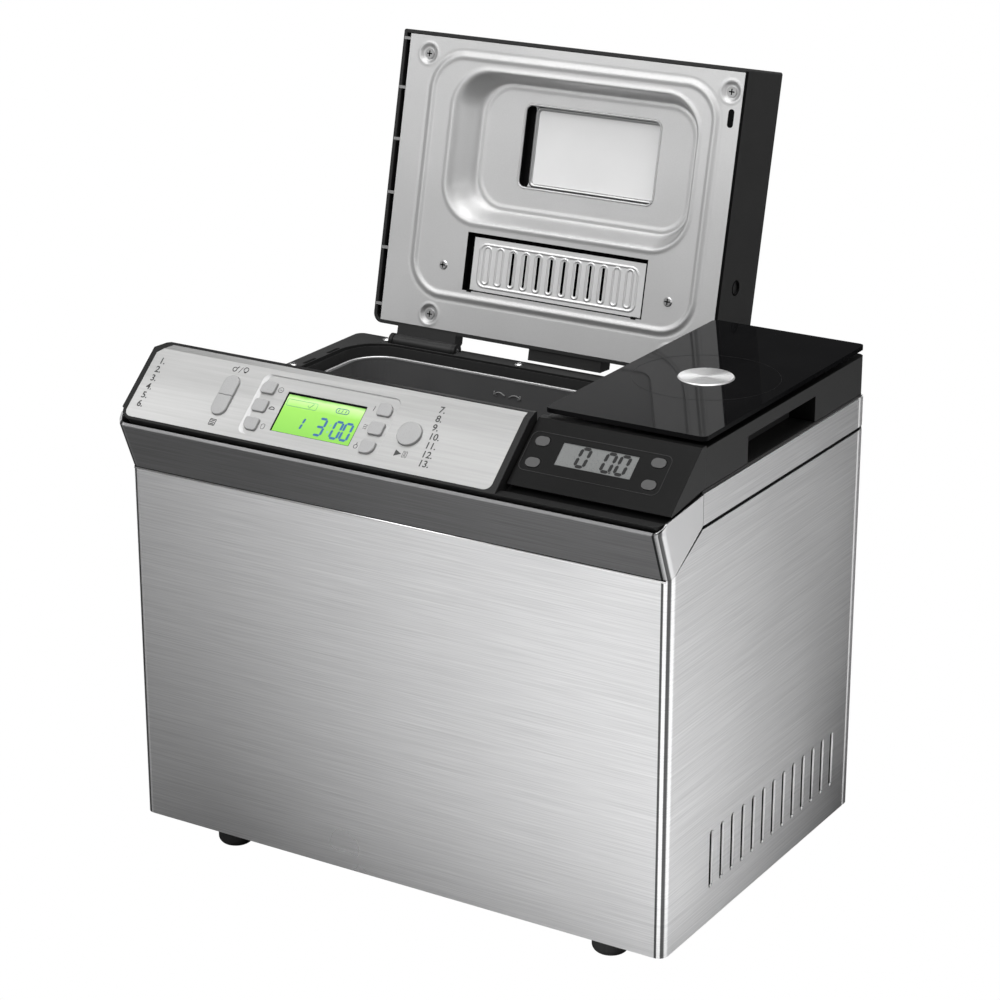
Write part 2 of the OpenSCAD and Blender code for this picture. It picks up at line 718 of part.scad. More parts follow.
// A key with a retaining flange under the faceplate
module key_body(top) {
  translate([0, 0, key_low]) linear_extrude(top - key_low) children(0);
  translate([0, 0, key_low]) linear_extrude(-plate_t - clear - key_low) children(1);
}
module small_key(i) color(silver) on_panel() translate(small_keys[i])
  key_body(key_up - field_deep) {
    key_plan(0, i);
    key_plan(flange, i);
  }
module key_a() { small_key(0); }
module key_b() { small_key(1); }
module key_c() { small_key(2); }
module key_d() { small_key(3); }
module key_e() { small_key(4); }
module key_f() { small_key(5); }
module rocker_key(s) color(silver) on_panel() translate([rocker_cx, rocker_v]) key_body(key_up) {
  rocker_plan(s, 0);
  translate([0, s * 0.9]) rocker_plan(s, 0.7);
}
module rocker_up() { rocker_key(1); }
module rocker_down() { rocker_key(-1); }
module start_key() color(silver) on_panel() translate([start_cx, start_v]) key_body(key_up) {
  circle(start_d / 2);
  circle(start_d / 2 + flange);
}

// ---- Drive ----

module motor() color([0.45, 0.45, 0.46]) translate([motor_x, oven_y, 0]) difference() {
  union() {
    translate([0, 0, motor_z]) cylinder(r = motor_r, h = motor_h);
    slab(-motor_r - 8, motor_r + 8, -motor_r - 8, motor_r + 8, motor_z, motor_z + 2, 6);
    translate([0, 0, motor_z + motor_h]) cylinder(r1 = motor_r - 6, r2 = 10, h = 8);
    for (x = [-1, 1]) for (y = [-1, 1]) translate([x * (motor_r + 2), y * (motor_r + 2), base_t])
      cylinder(r = 4, h = motor_z - base_t);
  }
  translate([0, 0, motor_z - 1]) cylinder(r = shaft_r - 1 + run, h = 30);
}

module motor_pulley() color(silver) translate([motor_x, oven_y, 0]) {
  translate([0, 0, wheel_z]) cylinder(r = pinion_r, h = wheel_h);
  translate([0, 0, wheel_z - 2]) cylinder(r = shaft_r - 1, h = motor_z - wheel_z + 24);
  for (z = [wheel_z - 1, wheel_z + wheel_h]) translate([0, 0, z]) cylinder(r = pinion_r + 3, h = 1);
}

belt_t = 2;
// Outline round both pulleys, grown by g
module belt_plan(g) hull() {
  translate([oven_x, oven_y]) circle(wheel_r + g, $fn = 96);
  translate([motor_x, oven_y]) circle(pinion_r + g, $fn = 96);
}
module drive_belt() color([0.1, 0.1, 0.1]) translate([0, 0, wheel_z + 1]) linear_extrude(wheel_h - 2) difference() {
  belt_plan(clear + belt_t);
  belt_plan(clear);
}

module large_pulley() color(black) translate([oven_x, oven_y, wheel_z]) difference() {
  cylinder(r = wheel_r, h = wheel_h);
  translate([0, 0, -1]) cylinder(r = shaft_r, h = wheel_h + 2);
  for (a = [0 : 60 : 300]) rotate([0, 0, a]) translate([wheel_r * 0.58, 0, -1]) cylinder(r = wheel_r * 0.18, h = wheel_h + 2);
}

wing_z = floor_z + 6;
wing_h = 9;
module drive_shaft() color(silver) translate([oven_x, oven_y, 0]) {
  translate([0, 0, wheel_z]) cylinder(r = shaft_r, h = wing_z - wheel_z + 1);
  translate([0, 0, wing_z]) cylinder(r = 9, h = wing_h);
  translate([-15, -3, wing_z]) cube([30, 6, wing_h]);
}

housing_z = wheel_z + wheel_h + 5;
module bearing_housing() color([0.5, 0.5, 0.52]) translate([oven_x, oven_y, 0]) difference() {
  union() {
    translate([0, 0, housing_z]) cylinder(r = neck_r, h = floor_z - housing_z + 2);
    translate([0, 0, floor_z - lining_t - 4]) cylinder(r = neck_r + 24, h = 4);
    translate([0, 0, floor_z]) cylinder(r = socket_r + 6, h = 12);
  }
  translate([0, 0, floor_z + 2]) cylinder(r = socket_r, h = 20);
  translate([0, 0, housing_z - 1]) cylinder(r = bush_r, h = floor_z);
  for (a = [45 : 90 : 315]) rotate([0, 0, a]) translate([neck_r + 14, 0, floor_z - 8]) cylinder(r = 2.2, h = 5);
}

module bushes() color([0.72, 0.5, 0.25])
  for (z = [housing_z, floor_z + 2 - bush_l]) translate([oven_x, oven_y, z]) difference() {
    cylinder(r = bush_r, h = bush_l);
    translate([0, 0, -1]) cylinder(r = shaft_r + run, h = bush_l + 2);
  }

power_x0 = right - 95;
power_x1 = right - 12;
power_y0 = oven_y + 48;
power_y1 = power_y0 + 60;
power_z = base_t + 8;
power_top = power_z + 1.6;
module power_board() color([0.12, 0.3, 0.16]) {
  box(power_x0, power_x1, power_y0, power_y1, power_z, power_top);
  for (x = [power_x0 + 6, power_x1 - 6]) for (y = [power_y0 + 6, power_y1 - 6])
    translate([x, y, base_t]) cylinder(r = 3, h = power_z - base_t);
  box(power_x0 + 8, power_x0 + 40, power_y0 + 10, power_y0 + 44, power_top, power_top + 30);
  box(power_x0 + 50, power_x0 + 66, power_y0 + 14, power_y0 + 32, power_top, power_top + 16);
  translate([power_x0 + 60, power_y0 + 46, power_top]) cylinder(r = 8, h = 24);
}

// ---- Bread pan ----

// Outline of the pan at its rim, grown by g
module pan_plan(g, r) {
  plan(-pan_w / 2 - g, pan_w / 2 + g, -pan_d / 2 - g, pan_d / 2 + g, r);
}
// Tapered body of the pan, inset by t, with its floor at z
module pan_shell(t, z) hull() {
  translate([0, 0, z]) linear_extrude(1) pan_plan(-rim_w - pan_lean - t, pan_r - rim_w - t, $fn = 32);
  translate([0, 0, pan_h - 1]) linear_extrude(1) pan_plan(-rim_w - t, pan_r - rim_w - t, $fn = 32);
}
ear_r = 6;
boss_r = 11;
pan_shaft_r = shaft_r + 1;
module bread_pan() color([0.2, 0.2, 0.21]) translate([oven_x, oven_y, pan_z]) difference() {
  union() {
    difference() {
      union() {
        pan_shell(0, 0);
        translate([0, 0, pan_h - 2.5]) linear_extrude(2.5) pan_plan(0, pan_r);
        for (s = [-1, 1]) bar_x(s > 0 ? bail_x - 10 : 4 - bail_x, s > 0 ? bail_x - 4 : 10 - bail_x,
                                0, bail_z - pan_z, ear_r);
      }
      pan_shell(pan_t, pan_t);
      translate([0, 0, pan_h - 2]) linear_extrude(6) pan_plan(-rim_w - pan_t, pan_r - rim_w - pan_t, $fn = 32);
    }
    cylinder(r = boss_r, h = pan_t + 8);
    translate([0, 0, -3]) cylinder(r = boss_r, h = 3.5);
  }
  translate([0, 0, -4]) cylinder(r = pan_shaft_r + run, h = 20);
  for (s = [-1, 1]) bar_x(s > 0 ? bail_x - 7 : 3 - bail_x, s > 0 ? bail_x - 3 : 7 - bail_x,
                          0, bail_z - pan_z, bail_d / 2 + run);
}

module pan_foot() color([0.5, 0.5, 0.52]) translate([oven_x, oven_y, floor_z + 2 + clear]) difference() {
  cylinder(r = socket_r - clear, h = pan_z - floor_z - 2 - clear);
  translate([0, 0, -1]) cylinder(r = socket_r - 8, h = pan_z);
}

// Wire handle folded forward, with its pivot pins in the pan's ears
module pan_handle() color(silver) translate([oven_x, oven_y, bail_z]) {
  r = bail_bend;
  for (s = [-1, 1]) {
    translate([s * bail_x, 0, 0]) rotate([90, 0, 0]) cylinder(d = bail_d, h = bail_y - r);
    translate([s * (bail_x - r), r - bail_y, 0]) rotate([0, 0, s > 0 ? -90 : 180])
      rotate_extrude(angle = 90) translate([r, 0]) circle(d = bail_d);
    bar_x(s > 0 ? bail_x - 6.7 : -bail_x, s > 0 ? bail_x : 6.7 - bail_x, 0, 0, bail_d / 2);
  }
  bar_x(r - bail_x, bail_x - r, -bail_y, 0, bail_d / 2);
}

lug_z = wing_z + 1;
disc_z = wing_z + wing_h + 1.5;
shaft_top = pan_z + 34;
module pan_shaft() color(silver) translate([oven_x, oven_y, 0]) {
  translate([0, 0, disc_z]) cylinder(r = 18, h = 3);
  for (s = [-1, 1]) translate([-3, s * 13 - 3, lug_z]) cube([6, 6, disc_z - lug_z + 1]);
  translate([0, 0, disc_z]) cylinder(r = pan_shaft_r, h = pan_z + pan_t + 8 - disc_z);
  translate([0, 0, disc_z]) cylinder(r = shaft_r, h = shaft_top - disc_z);
}

hub_z = pan_z + pan_t + 8 + clear;
module paddle() color([0.18, 0.18, 0.19]) translate([oven_x, oven_y, hub_z]) difference() {
  union() {
    cylinder(r = hub_r, h = 30);
    translate([0, 0, 30]) cylinder(r1 = hub_r, r2 = hub_r - 3, h = 3);
    translate([0, -3, 2]) cube([blade_l - blade_h / 2, 6, blade_h]);
    translate([blade_l - blade_h / 2, 3, 2 + blade_h / 2]) rotate([90, 0, 0]) cylinder(d = blade_h, h = 6);
    translate([blade_l - blade_h / 2, -3, 2]) cube([blade_h / 2, 6, blade_h / 2]);
  }
  translate([0, 0, -1]) cylinder(r = shaft_r + run, h = shaft_top - hub_z + 1 + clear);
}

// ---- Hinge and lid ----

ear_round = 5;
module hinge_brackets() color([0.25, 0.25, 0.26]) for (s = arm_spans) for (x = [s[0], s[1] - ear_t]) difference() {
  union() {
    bar_x(x, x + ear_t, hinge_y, hinge_z, ear_round);
    box(x, x + ear_t, hinge_y - ear_round, hinge_y + ear_round, hinge_z - 5.2, hinge_z);
  }
  bar_x(x - 1, x + ear_t + 1, hinge_y, hinge_z, pin_r);
}

module hinge_pins() color(silver) for (s = arm_spans) bar_x(s[0], s[1], hinge_y, hinge_z, pin_r);

lid_wall = 2.5;
lid_r_front = 1.6;
lid_r_back = 7;
lid_top = lid_z0 + lid_t;
window_x = lid_x0 + 154;
window_s = 138;
// Closed-lid coordinate at distance s from the hinge edge
function along(s) = lid_back - s;
grille_x0 = lid_x0 + 69.5;
grille_x1 = lid_x0 + 214;
grille_s0 = 32.5;
grille_s1 = 74;
cover_t = 3;
module lid_shell() color(black) opened() difference() {
  union() {
    difference() {
      lid_block(0, lid_z0, lid_top);
      lid_block(lid_wall, lid_z0 - 1, lid_top - 2 * lid_wall);
    }
    for (p = lid_screw_spots) translate([p[0], p[1], lid_z0 + 3]) cylinder(r = 5, h = lid_t - 6);
    for (p = small_screw_spots) translate([p[0], p[1], lid_z0 + press_t]) cylinder(r = 4, h = lid_t - 5);
    for (s = arm_spans) profile(s[0] + ear_t + clear, s[1] - ear_t - clear, [
      [lid_back - 1, lid_z0], [lid_back - 1, lid_z0 + 10], [lid_back + 6, lid_z0 + 10],
      [hinge_y + 3.2, hinge_z + 3.2], [hinge_y, hinge_z]
    ]);
    for (s = arm_spans) bar_x(s[0] + ear_t + clear, s[1] - ear_t - clear, hinge_y, hinge_z, 4.5);
    profile(window_x - 24, window_x + 34, [
      [lid_back - 1, lid_z0 + 1], [lid_back - 1, lid_z0 + 14], [lid_back + 6, lid_z0 + 14], [lid_back + 8, lid_z0 + 1]
    ]);
  }
  for (s = arm_spans) bar_x(s[0], s[1], hinge_y, hinge_z, pin_r + run);
  for (p = concat(lid_screw_spots, small_screw_spots))
    translate([p[0], p[1], lid_z0]) cylinder(r = screw_r, h = screw_l);
  box(window_x - window_w / 2, window_x + window_w / 2, along(window_s) - window_h / 2, along(window_s) + window_h / 2,
      lid_top - 3 * lid_wall, lid_top + 1);
  box(lid_x0 + 12, lid_x1 - 12, lid_front + 12, lid_back - 12, lid_top - cover_t, lid_top + 1);
  translate([lid_x1 - 1.5, along(62.6), lid_z0 + 21]) rotate([0, 90, 0]) cylinder(r = 5.5, h = 3);
}

module lid_cover() color([0.15, 0.16, 0.17, 0.6]) opened()
  slab(lid_x0 + 12, lid_x1 - 12, lid_front + 12, lid_back - 12, lid_top - cover_t, lid_top, 0.5);

plate_in = 6;
press_t = 0.8;
screw_r = 1.6;
screw_l = 9;
lid_screw_spots = [
  [lid_x0 + 22.3, along(193.5)], [lid_x1 - 11.5, along(192.5)],
  [lid_x0 + 46, along(12)], [lid_x1 - 34, along(12)]
];
small_screw_spots = [[lid_x0 + 53.6, along(48.2)], [lid_x1 - 39, along(48)]];
bowl_x0 = lid_x0 + 44.6;
bowl_x1 = lid_x1 - 30.9;
bowl_s0 = 80.5;
bowl_s1 = 187;
bowl_r = 28;
slope_left = 17.4;
slope_right = 9.1;
slope_end = 9;
slope_grille = 11.5;
// Pressed bowl, inset by t and starting at height z
module bowl(t, z) hull() {
  translate([0, 0, z]) linear_extrude(0.1)
    plan(bowl_x0 + t, bowl_x1 - t, along(bowl_s1) + t, along(bowl_s0) - t, bowl_r - t, $fn = 32);
  translate([0, 0, z + bowl_deep]) linear_extrude(0.1)
    plan(bowl_x0 + slope_left + t, bowl_x1 - slope_right - t, along(bowl_s1 - slope_end) + t,
         along(bowl_s0 + slope_grille) - t, bowl_r - 6 - t, $fn = 32);
}
module lid_plate() color(silver) opened() difference() {
  union() {
    slab(lid_x0 + plate_in, lid_x1 - lid_wall, lid_front + 2.8, lid_back - lid_wall, lid_z0, lid_z0 + press_t, 4.5);
    for (i = [0 : 5])
      box(lid_x0 + lid_wall, lid_x0 + plate_in + 2, along(13 + i * 37.4), along(11 + i * 37.4), lid_z0, lid_z0 + press_t);
    bowl(0, lid_z0 + press_t);
    for (p = lid_screw_spots) translate([p[0], p[1], lid_z0]) cylinder(r1 = 8, r2 = 6, h = 3);
  }
  bowl(press_t, lid_z0 - 0.2);
  box(window_x - window_w / 2, window_x + window_w / 2, along(window_s) - window_h / 2, along(window_s) + window_h / 2,
      lid_z0 - 1, lid_z0 + bowl_deep + 4);
  box(grille_x0, grille_x1, along(grille_s1), along(grille_s0), lid_z0 - 1, lid_z0 + 4);
  for (p = lid_screw_spots) {
    translate([p[0], p[1], lid_z0 - 1]) cylinder(r1 = 8, r2 = 5.2, h = 3.2);
    translate([p[0], p[1], lid_z0 - 1]) cylinder(r = screw_r, h = 5);
  }
  for (p = small_screw_spots) translate([p[0], p[1], lid_z0 - 1]) cylinder(r = screw_r, h = 3);
  translate([lid_x1 - 9.3, along(175), lid_z0 - 1]) linear_extrude(3) capsule(3.4, 13);
}

module lid_window() color([0.85, 0.9, 0.92, 0.35]) opened()
  box(window_x - window_w / 2 - 4, window_x + window_w / 2 + 4, along(window_s) - window_h / 2 - 4,
      along(window_s) + window_h / 2 + 4, lid_z0 + bowl_deep + press_t + 0.1, lid_z0 + bowl_deep + press_t + 4.1);

module lid_grille() color(silver) opened() difference() {
  box(grille_x0 + 2.5, grille_x1 + 3, along(grille_s1 - 4), along(grille_s0 - 3),
      lid_z0 + press_t, lid_z0 + 2 * press_t);
  for (i = [2 : grille_n - 3])
    translate([grille_x0 + 14 + i * (grille_x1 - grille_x0 - 25) / (grille_n - 1), along(52), lid_z0 - 1])
      linear_extrude(6) capsule(3, 27);
}

module lid_screws() color(silver) opened() {
  for (p = lid_screw_spots) translate([p[0], p[1], lid_z0 + 0.9]) {
    difference() {
      cylinder(r = 3.6, h = 1.3);
      translate([-0.4, -2, -0.1]) cube([0.8, 4, 0.8]);
      translate([-2, -0.4, -0.1]) cube([4, 0.8, 0.8]);
    }
    translate([0, 0, 1.2]) cylinder(r = screw_r, h = screw_l - 2.1);
  }
  for (p = small_screw_spots) translate([p[0], p[1], lid_z0 - 1]) {
    difference() {
      cylinder(r1 = 2.6, r2 = 3.4, h = 1);
      translate([-0.3, -1.8, -0.1]) cube([0.6, 3.6, 0.6]);
      translate([-1.8, -0.3, -0.1]) cube([3.6, 0.6, 0.6]);
    }
    translate([0, 0, 0.9]) cylinder(r = screw_r, h = screw_l);
  }
}

// ---- Scale ----

// Low ledge under the front of the scale
lip_y = (nose_y + face_y) / 2 + 1;
lip_z = min(nose_z + 0.6, face_z - 1.6);
groove_z = lip_z - 3.2;
ledge_x1 = right - band_t - 3 * clear;
module ledge() intersection() {
  slab(panel_right - 20, ledge_x1, nose_y, back, deck_z, nose_z + 9, corner_r);
  difference() {
    profile(panel_right, ledge_x1, [
      [nose_y + 3, band_top + clear], [nose_y, nose_z], [lip_y, lip_z], [lip_y + 1.2, groove_z],
      [seam_y - 0.4, tray_top - 0.4], [seam_y - 0.4, deck_z], [front + 2, deck_z], [front - 4, band_top + clear]
    ]);
    profile(panel_right + wall, ledge_x1 - wall, [
      [front + 4, deck_z - 1], [front - 0.5, groove_z - wall - 1], [front + 1, groove_z - wall],
      [seam_y - 3, tray_top - wall - 1], [seam_y - 3, deck_z - 1]
    ]);
  }
}

module scale_tray() color(black) {
  ledge();
  difference() {
    intersection() {
      box(panel_right + 2.2, right - sheet_t, seam_y + 0.4, back - 1.2, deck_z, tray_top);
      slab(left, right - sheet_t, front, back - 1.2, deck_z - 1, tray_top + 1, corner_r);
    }
    box(panel_right + 2.2 + wall, right - sheet_t - wall, seam_y + 0.4 + wall, back - 1.2 - wall, deck_z - 1, tray_top - wall);
  }
}
scale_r = 5;
post_r = 14;
side_t = 2.2;
face_outline = [
  [face_y, face_z], [face_y + face_len * cos(face_a), scale_top + 1.5], [seam_y + 4, scale_top + 1.5],
  [seam_y + 4, scale_z0], [seam_y, scale_z0], [face_y + 0.6, face_z - 0.8]
];
module grip_box(g) {
  box(scale_x1 - grip_deep - g, scale_x1 + 1 - g, grip_y0 - g, grip_y0 + grip_l + g,
      scale_z0 - 1, scale_z0 + grip_h + g);
}
grip_y0 = seam_y + 58.5;
module scale_housing() color([0.1, 0.1, 0.11]) difference() {
  union() {
    difference() {
      union() {
        slab(scale_x0, scale_x1, seam_y, scale_back, scale_z0, scale_top, scale_r);
        profile(lid_x1 + 0.4, scale_x1, face_outline);
      }
      box(scale_x0 + side_t, scale_x1 - side_t, seam_y + 6, scale_back - side_t, scale_z0 - 1, scale_top - side_t);
      profile(scale_x0 + side_t, scale_x1 - side_t, [
        [face_y + 6, face_z + 0.8], [face_y + face_len * cos(face_a) - 1.5, scale_top - side_t],
        [seam_y + 7, scale_top - side_t], [seam_y + 7, scale_z0 + side_t], [seam_y, scale_z0 + side_t]
      ]);
    }
    intersection() {
      grip_box(side_t);
      box(scale_x0, scale_x1, seam_y, scale_back, scale_z0, scale_top - 0.5);
    }
  }
  grip_box(0);
  translate([disc_x, disc_y, scale_top - 5]) cylinder(r = post_r + 1, h = 8);
  on_face() translate([disc_x, 0, -6]) linear_extrude(8) {
    translate([lcd_off, lcd_v]) square([face_lcd_w, face_lcd_h], center = true);
    for (k = face_keys) translate(k) rotate([0, 0, 90]) capsule(oval_h + 2 * key_gap, oval_w + 2 * key_gap);
  }
}
lcd_off = -6.6;
lcd_v = 0.555 * face_len;
oval_w = 9.6;
oval_h = 6.6;
face_keys = [[-46.4, 0.675 * face_len], [-46.4, 0.36 * face_len], [32.9, 0.685 * face_len], [32.9, 0.365 * face_len]];

module scale_base() color(black) difference() {
  box(scale_x0 + side_t, scale_x1 - side_t, seam_y + 6, scale_back - side_t, scale_z0, scale_z0 + 2);
  grip_box(side_t);
  box(door_x0, door_x0 + door_w, door_y0, door_y0 + door_l + 7, scale_z0 - 1, scale_z0 + 1.4);
}
door_w = 34;
door_l = 60;
door_x0 = disc_x - 42;
door_y0 = disc_y - 80;
module battery_door() color([0.12, 0.12, 0.13]) difference() {
  box(door_x0 + clear, door_x0 + door_w - clear, door_y0 + clear, door_y0 + door_l, scale_z0, scale_z0 + 1.1);
  for (i = [0 : 3]) box(door_x0 + 8, door_x0 + door_w - 8, door_y0 + 46 + 3 * i, door_y0 + 47 + 3 * i, scale_z0 - 1, scale_z0 + 0.4);
}

cell_z = scale_z0 + 5;
module load_cell() color([0.7, 0.7, 0.72]) difference() {
  union() {
    box(disc_x - 7, disc_x + 7, disc_y - 12, disc_y + 62, cell_z, cell_z + 12);
    box(disc_x - 9, disc_x + 9, disc_y + 44, disc_y + 64, scale_z0 + 2, cell_z);
  }
  for (y = [disc_y + 21, disc_y + 31]) bar_x(disc_x - 8, disc_x + 8, y, cell_z + 6, 4.5);
  box(disc_x - 8, disc_x + 8, disc_y + 21, disc_y + 31, cell_z + 4, cell_z + 8);
}

post_z = cell_z + 12 + platform_travel + clear;
module platform_post() color([0.2, 0.2, 0.2]) {
  translate([disc_x, disc_y, post_z]) cylinder(r = 6, h = glass_z0 - post_z);
  translate([disc_x, disc_y, glass_z0 - 1.5]) cylinder(r = post_r, h = 1.5);
  box(scale_x0 + 10, scale_x1 - 10, disc_y - 6, disc_y + 6, glass_z0 - 1.5, glass_z0);
  box(disc_x - 6, disc_x + 6, seam_y + 14, scale_back - 12, glass_z0 - 1.5, glass_z0);
}

module scale_glass() color([0.03, 0.03, 0.04])
  slab(scale_x0 + 0.2, scale_x1 - 0.4, seam_y + 3, scale_back, glass_z0, glass_z0 + glass_t, glass_r);

module scale_disc() color([0.85, 0.85, 0.85])
  translate([disc_x, disc_y, glass_z0 + glass_t]) cylinder(r1 = disc_r, r2 = disc_r - 0.6, h = 0.7);

face_depth = 3;
module scale_display() color([0.45, 0.47, 0.47]) on_face() translate([disc_x + lcd_off, lcd_v, 0]) {
  translate([0, 0, -face_depth]) linear_extrude(face_depth - 0.6) square([face_lcd_w, face_lcd_h], center = true);
  translate([0, 0, -face_depth - 1.5]) linear_extrude(1.5) square([face_lcd_w + 8, face_lcd_h + 6], center = true);
}

module face_key(i) color([0.45, 0.45, 0.46]) on_face() translate([disc_x, 0, 0] + [face_keys[i][0], face_keys[i][1], 0]) {
  translate([0, 0, -4]) linear_extrude(4.4) rotate([0, 0, 90]) capsule(oval_h, oval_w);
}
module scale_key_a() { face_key(0); }
module scale_key_b() { face_key(1); }
module scale_key_c() { face_key(2); }
module scale_key_d() { face_key(3); }

body_wrap();
rear_panel();
base_plate();
feet();
front_band();
side_strip();
deck();
deck_screws();
oven_chamber();
cord_gland();
oven_legs();
heater();
temp_sensor();
control_housing();
control_plate();
control_lcd();
control_board();
rocker_up();
rocker_down();
key_a();
key_b();
key_c();
key_d();
key_e();
key_f();
start_key();
power_board();
motor();
motor_pulley();
drive_belt();
large_pulley();
drive_shaft();
bearing_housing();
bushes();
bread_pan();
pan_foot();
pan_handle();
pan_shaft();
paddle();
hinge_brackets();
hinge_pins();
lid_shell();
lid_cover();
lid_plate();
lid_window();
lid_grille();
lid_screws();
scale_tray();
scale_housing();
scale_base();
battery_door();
load_cell();
platform_post();
scale_glass();
scale_disc();
scale_display();
scale_key_a();
scale_key_b();
scale_key_c();
scale_key_d();
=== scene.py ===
"""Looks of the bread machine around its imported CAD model.

Sizes are in millimetres until a mesh, a light or a shader takes them. Places are
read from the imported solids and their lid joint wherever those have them.
"""
import bpy
import json
import math
from mathutils import Matrix, Vector


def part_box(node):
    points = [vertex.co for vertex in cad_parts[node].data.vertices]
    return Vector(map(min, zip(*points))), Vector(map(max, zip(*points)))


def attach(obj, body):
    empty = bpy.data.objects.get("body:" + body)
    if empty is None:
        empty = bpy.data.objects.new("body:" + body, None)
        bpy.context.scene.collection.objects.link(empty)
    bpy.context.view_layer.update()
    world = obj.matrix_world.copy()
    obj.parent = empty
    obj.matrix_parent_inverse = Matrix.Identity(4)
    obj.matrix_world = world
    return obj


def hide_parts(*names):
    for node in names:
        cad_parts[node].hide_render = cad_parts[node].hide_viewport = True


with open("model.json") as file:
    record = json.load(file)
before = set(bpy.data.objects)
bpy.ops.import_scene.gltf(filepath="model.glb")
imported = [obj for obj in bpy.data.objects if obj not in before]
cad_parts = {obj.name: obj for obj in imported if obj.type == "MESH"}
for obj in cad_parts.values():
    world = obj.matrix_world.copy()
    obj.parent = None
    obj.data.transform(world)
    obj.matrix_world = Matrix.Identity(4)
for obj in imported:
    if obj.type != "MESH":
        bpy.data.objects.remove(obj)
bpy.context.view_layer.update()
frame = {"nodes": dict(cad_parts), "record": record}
MM = 0.001
NODES = frame["nodes"]
RECORD = frame["record"]


# ---------------------------------------------------------------- places
def box_mm(node):
    """Lowest and highest corner of a CAD node, in millimetres."""
    return [[round(v / MM, 3) for v in corner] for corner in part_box(node)]


def middle(node, axis):
    low, high = box_mm(node)
    return round((low[axis] + high[axis]) / 2, 3)


wrap_low, wrap_high = box_mm("body_wrap")
band_low, band_high = box_mm("front_band")
lid_low, lid_high = box_mm("lid_shell")
RIGHT = wrap_high[0]
FRONT = wrap_low[1]
WRAP_TOP = wrap_high[2]
SEAM_Y = band_high[1]
DECK_Z = box_mm("deck")[1][2]
GLASS_Z = box_mm("scale_glass")[1][2]

# Lid: x as seen from the front, s measured from the hinge edge of the closed lid
lid_joint = next(j for j in RECORD["behaviour"]["joints"] if j["name"] == "lid_hinge")
HINGE = Vector(lid_joint["pos_m"])
OPENED = (Matrix.Translation(HINGE) @ Matrix.Rotation(math.radians(lid_joint["range_deg"][0]), 4, "X")
          @ Matrix.Translation(-HINGE))
LID_X0, LID_X1 = lid_low[0], lid_high[0]
HINGE_BEHIND = 10.5
LID_GAP = 1.9
LID_BACK = round(lid_joint["pos_m"][1] / MM - HINGE_BEHIND, 3)
LID_Z = DECK_Z + LID_GAP
BOWL_DEEP = 15.0
FLOOR_Z = LID_Z + BOWL_DEEP
# areas on the lid are (x0, x1, s0, s1)
WINDOW = (-88.0, 19.0, 109.4, 166.7)
GRILLE_HOLE = (-114.6, 29.4, 33.0, 74.0)
GRILLE = (-110.4, 26.6, 33.6, 70.9)
CORNER_SCREWS = [(LID_X0 + 22.3, 193.5), (LID_X1 - 11.5, 192.5), (LID_X0 + 46, 12), (LID_X1 - 34, 12)]
PLATE_SCREWS = [(LID_X0 + 53.6, 48.2), (LID_X1 - 39.0, 48.0)]

# Control panel: x, and v measured up its slope
PANEL_TILT = math.radians(41.2)
PANEL_FOOT_Z = 286.0
PANEL_FOOT = (0, box_mm("control_housing")[0][1] * MM, PANEL_FOOT_Z * MM)
ON_PANEL = Matrix.Translation(PANEL_FOOT) @ Matrix.Rotation(PANEL_TILT, 4, "X")
PRINT_LEN = 57.3
ROCKER_X = middle("rocker_up", 0)
START_X = middle("start_key", 0)
LCD_X, LCD_V = middle("control_lcd", 0), 27.0
LCD_Z = -1.2

# Sloped face of the scale: x, and v measured up its slope
FACE_TILT = math.radians(39.9)
FACE_LEN = 49.0
FACE_TOP_Y = SEAM_Y - 1.2
FACE_TOP_Z = box_mm("scale_housing")[1][2]
FACE_FOOT = (0, (FACE_TOP_Y - FACE_LEN * math.cos(FACE_TILT)) * MM,
             (FACE_TOP_Z - FACE_LEN * math.sin(FACE_TILT)) * MM)
ON_FACE = Matrix.Translation(FACE_FOOT) @ Matrix.Rotation(FACE_TILT, 4, "X")
FACE_LCD_X = middle("scale_display", 0)
DISC_X, DISC_Y = FACE_LCD_X + 6.6, 14.0

PAN_X, PAN_Y = middle("bread_pan", 0), middle("bread_pan", 1)
PAN_TOP = box_mm("bread_pan")[1][2]

# ---------------------------------------------------------------- shader nodes
MAT = {}


def new_material(name):
    m = bpy.data.materials.new(name)
    m.use_nodes = True
    t = m.node_tree
    t.nodes.clear()
    out = t.nodes.new("ShaderNodeOutputMaterial")
    p = t.nodes.new("ShaderNodeBsdfPrincipled")
    t.links.new(p.outputs[0], out.inputs[0])
    MAT[name] = m
    return m, t, p, out


def rgb(colour):
    """Three numbers for a colour; one number stands for a grey."""
    return (colour,) * 3 if isinstance(colour, float) else colour


def principled(m):
    return next(n for n in m.node_tree.nodes if n.type == "BSDF_PRINCIPLED")


def colour_of(p):
    return p.inputs["Base Color"].links[0].from_socket


def coords(t, scale=(1, 1, 1), location=(0, 0, 0)):
    c = t.nodes.new("ShaderNodeTexCoord")
    m = t.nodes.new("ShaderNodeMapping")
    m.inputs["Scale"].default_value = scale
    m.inputs["Location"].default_value = location
    t.links.new(c.outputs["Object"], m.inputs["Vector"])
    return m.outputs["Vector"]


def noise(t, scale, detail=3.0, rough=0.5):
    n = t.nodes.new("ShaderNodeTexNoise")
    n.inputs["Scale"].default_value = 1.0
    n.inputs["Detail"].default_value = detail
    n.inputs["Roughness"].default_value = rough
    t.links.new(coords(t, scale), n.inputs["Vector"])
    return n.outputs["Fac"]


